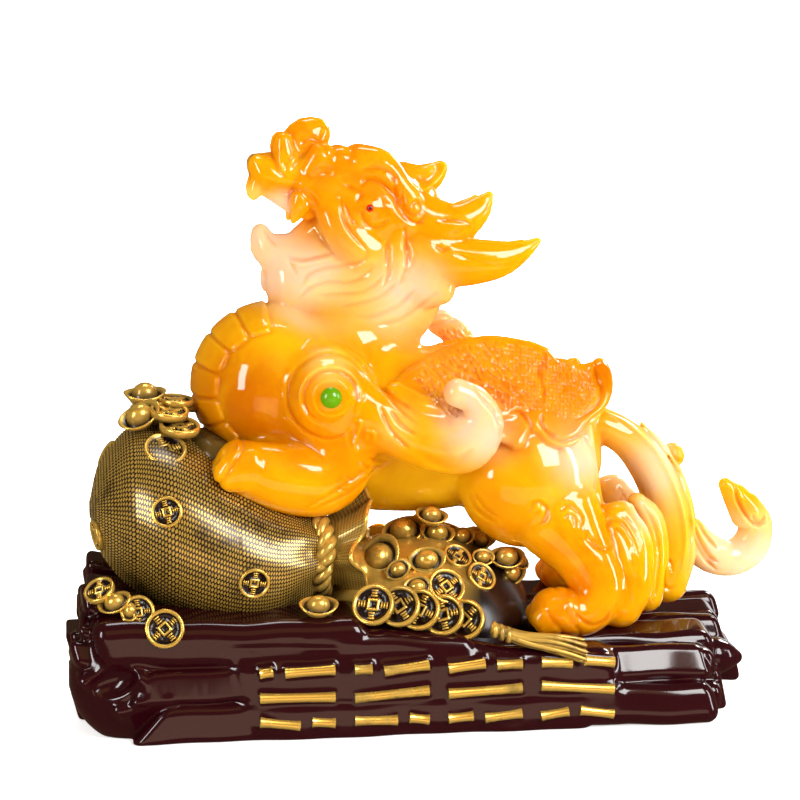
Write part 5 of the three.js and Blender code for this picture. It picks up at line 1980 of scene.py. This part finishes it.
# %% Floor and backdrop
HALF_FLOOR = 3.0
FLOOR_FRONT = -0.25
WALL_AWAY, WALL_BEND, WALL_HEIGHT = 1.6, 0.6, 3.0
BEND_STEPS = 12
profile = [(FLOOR_FRONT, 0)]
for step in range(BEND_STEPS + 1):
    turn = math.pi / 2 * step / BEND_STEPS
    away, up = WALL_BEND * math.sin(turn), WALL_BEND * (1 - math.cos(turn))
    profile.append((WALL_AWAY - WALL_BEND + away, up))
profile.append((WALL_AWAY, WALL_HEIGHT))
floor_mesh = bpy.data.meshes.new("floor")
floor_mesh.from_pydata(
    [(x, y, z) for y, z in profile for x in (-HALF_FLOOR, HALF_FLOOR)],
    [],
    [(2 * i, 2 * i + 1, 2 * i + 3, 2 * i + 2) for i in range(len(profile) - 1)],
)
floor_mesh.shade_smooth()
floor = new_piece("floor", floor_mesh)
floor.visible_glossy = False
paper, tree = new_material("matt white paper")
place = add_node(tree, "ShaderNodeTexCoord")
apart = add_node(tree, "ShaderNodeSeparateXYZ", {"Vector": place.outputs["Object"]})
lit = add_node(
    tree,
    "ShaderNodeMapRange",
    {"Value": apart.outputs["Y"], "From Min": -0.3, "From Max": 0.9, "To Min": 0.4, "To Max": 1.4},
)
shader = add_node(
    tree,
    "ShaderNodeBsdfPrincipled",
    {
        "Base Color": colour("#F4F4F4"),
        "Roughness": 0.8,
        "Emission Color": colour("#FFFFFF"),
        "Emission Strength": lit.outputs[0],
    },
)
add_node(tree, "ShaderNodeOutputMaterial", {"Surface": shader.outputs[0]})
floor_mesh.materials.append(paper)

# %% Lights
ROOM_LIGHT, ROOM_STRENGTH = "#FFDCA8", 0.12
world = bpy.data.worlds.new("studio")
world.use_nodes = True
background = world.node_tree.nodes["Background"]
background.inputs["Color"].default_value = colour(ROOM_LIGHT)
background.inputs["Strength"].default_value = ROOM_STRENGTH
bpy.context.scene.world = world
bpy.context.scene.view_settings.view_transform = "Standard"


def softbox(name, place, size, power, text="#FFFFFF", mirrored=True):
    """A lamp behind a sheet of cloth that faces the figure, and may be left out of its gloss."""
    light = bpy.data.lights.new(name, "AREA")
    light.shape = "RECTANGLE"
    light.size, light.size_y = size
    light.energy = power
    light.color = colour(text)[:3]
    lamp = bpy.data.objects.new(name, light)
    lamp.location = place
    lamp.visible_glossy = mirrored
    lamp.rotation_euler = (FIGURE - Vector(place)).to_track_quat("-Z", "Y").to_euler()
    bpy.context.scene.collection.objects.link(lamp)


FIGURE = Vector((0, 0, 0.15))
softbox("key from the right", (0.75, -1.15, 0.85), (0.6, 0.8), 22)
softbox("strip from the left", (-1.1, -0.9, 0.5), (0.25, 0.8), 9)
softbox("strip from the right", (1.3, -0.5, 0.35), (0.2, 0.8), 7)
softbox("top", (0.0, 0.2, 1.4), (0.5, 0.3), 4)
softbox("rim from behind", (0.9, 0.7, 0.9), (0.4, 0.4), 12)
softbox("ceiling", (0.3, -1.9, 1.6), (2.2, 1.2), 4, "#FFC670")
softbox("glow of the table", (0.0, -1.2, -0.35), (1.6, 0.5), 3, "#FFD8B8")
softbox("fill from below", (-0.4, -1.2, -0.3), (1.2, 0.8), 4, "#FFE8C8", mirrored=False)
softbox("window behind", (0.85, 1.2, 0.3), (1.0, 0.5), 3)

# %% Camera
CAMERA_AZIMUTH = -8
CAMERA_ELEVATION = 8
CAMERA_DISTANCE = 1250 * MM
TARGET = Vector((-6, 0, 161)) * MM
PIXEL = 0.535 * MM
IMAGE_WIDTH = 800
SENSOR_WIDTH = 36
azimuth, elevation = math.radians(CAMERA_AZIMUTH), math.radians(CAMERA_ELEVATION)
away = Vector(
    (
        math.sin(azimuth) * math.cos(elevation),
        -math.cos(azimuth) * math.cos(elevation),
        math.sin(elevation),
    )
)
lens = bpy.data.cameras.new("camera")
lens.sensor_width = SENSOR_WIDTH
lens.lens = lens.sensor_width * CAMERA_DISTANCE / (PIXEL * IMAGE_WIDTH)
camera = bpy.data.objects.new("camera", lens)
camera.location = TARGET + away * CAMERA_DISTANCE
camera.rotation_euler = away.to_track_quat("Z", "Y").to_euler()
bpy.context.scene.collection.objects.link(camera)
bpy.context.scene.camera = camera
print("focal length", round(lens.lens, 1), "mm")
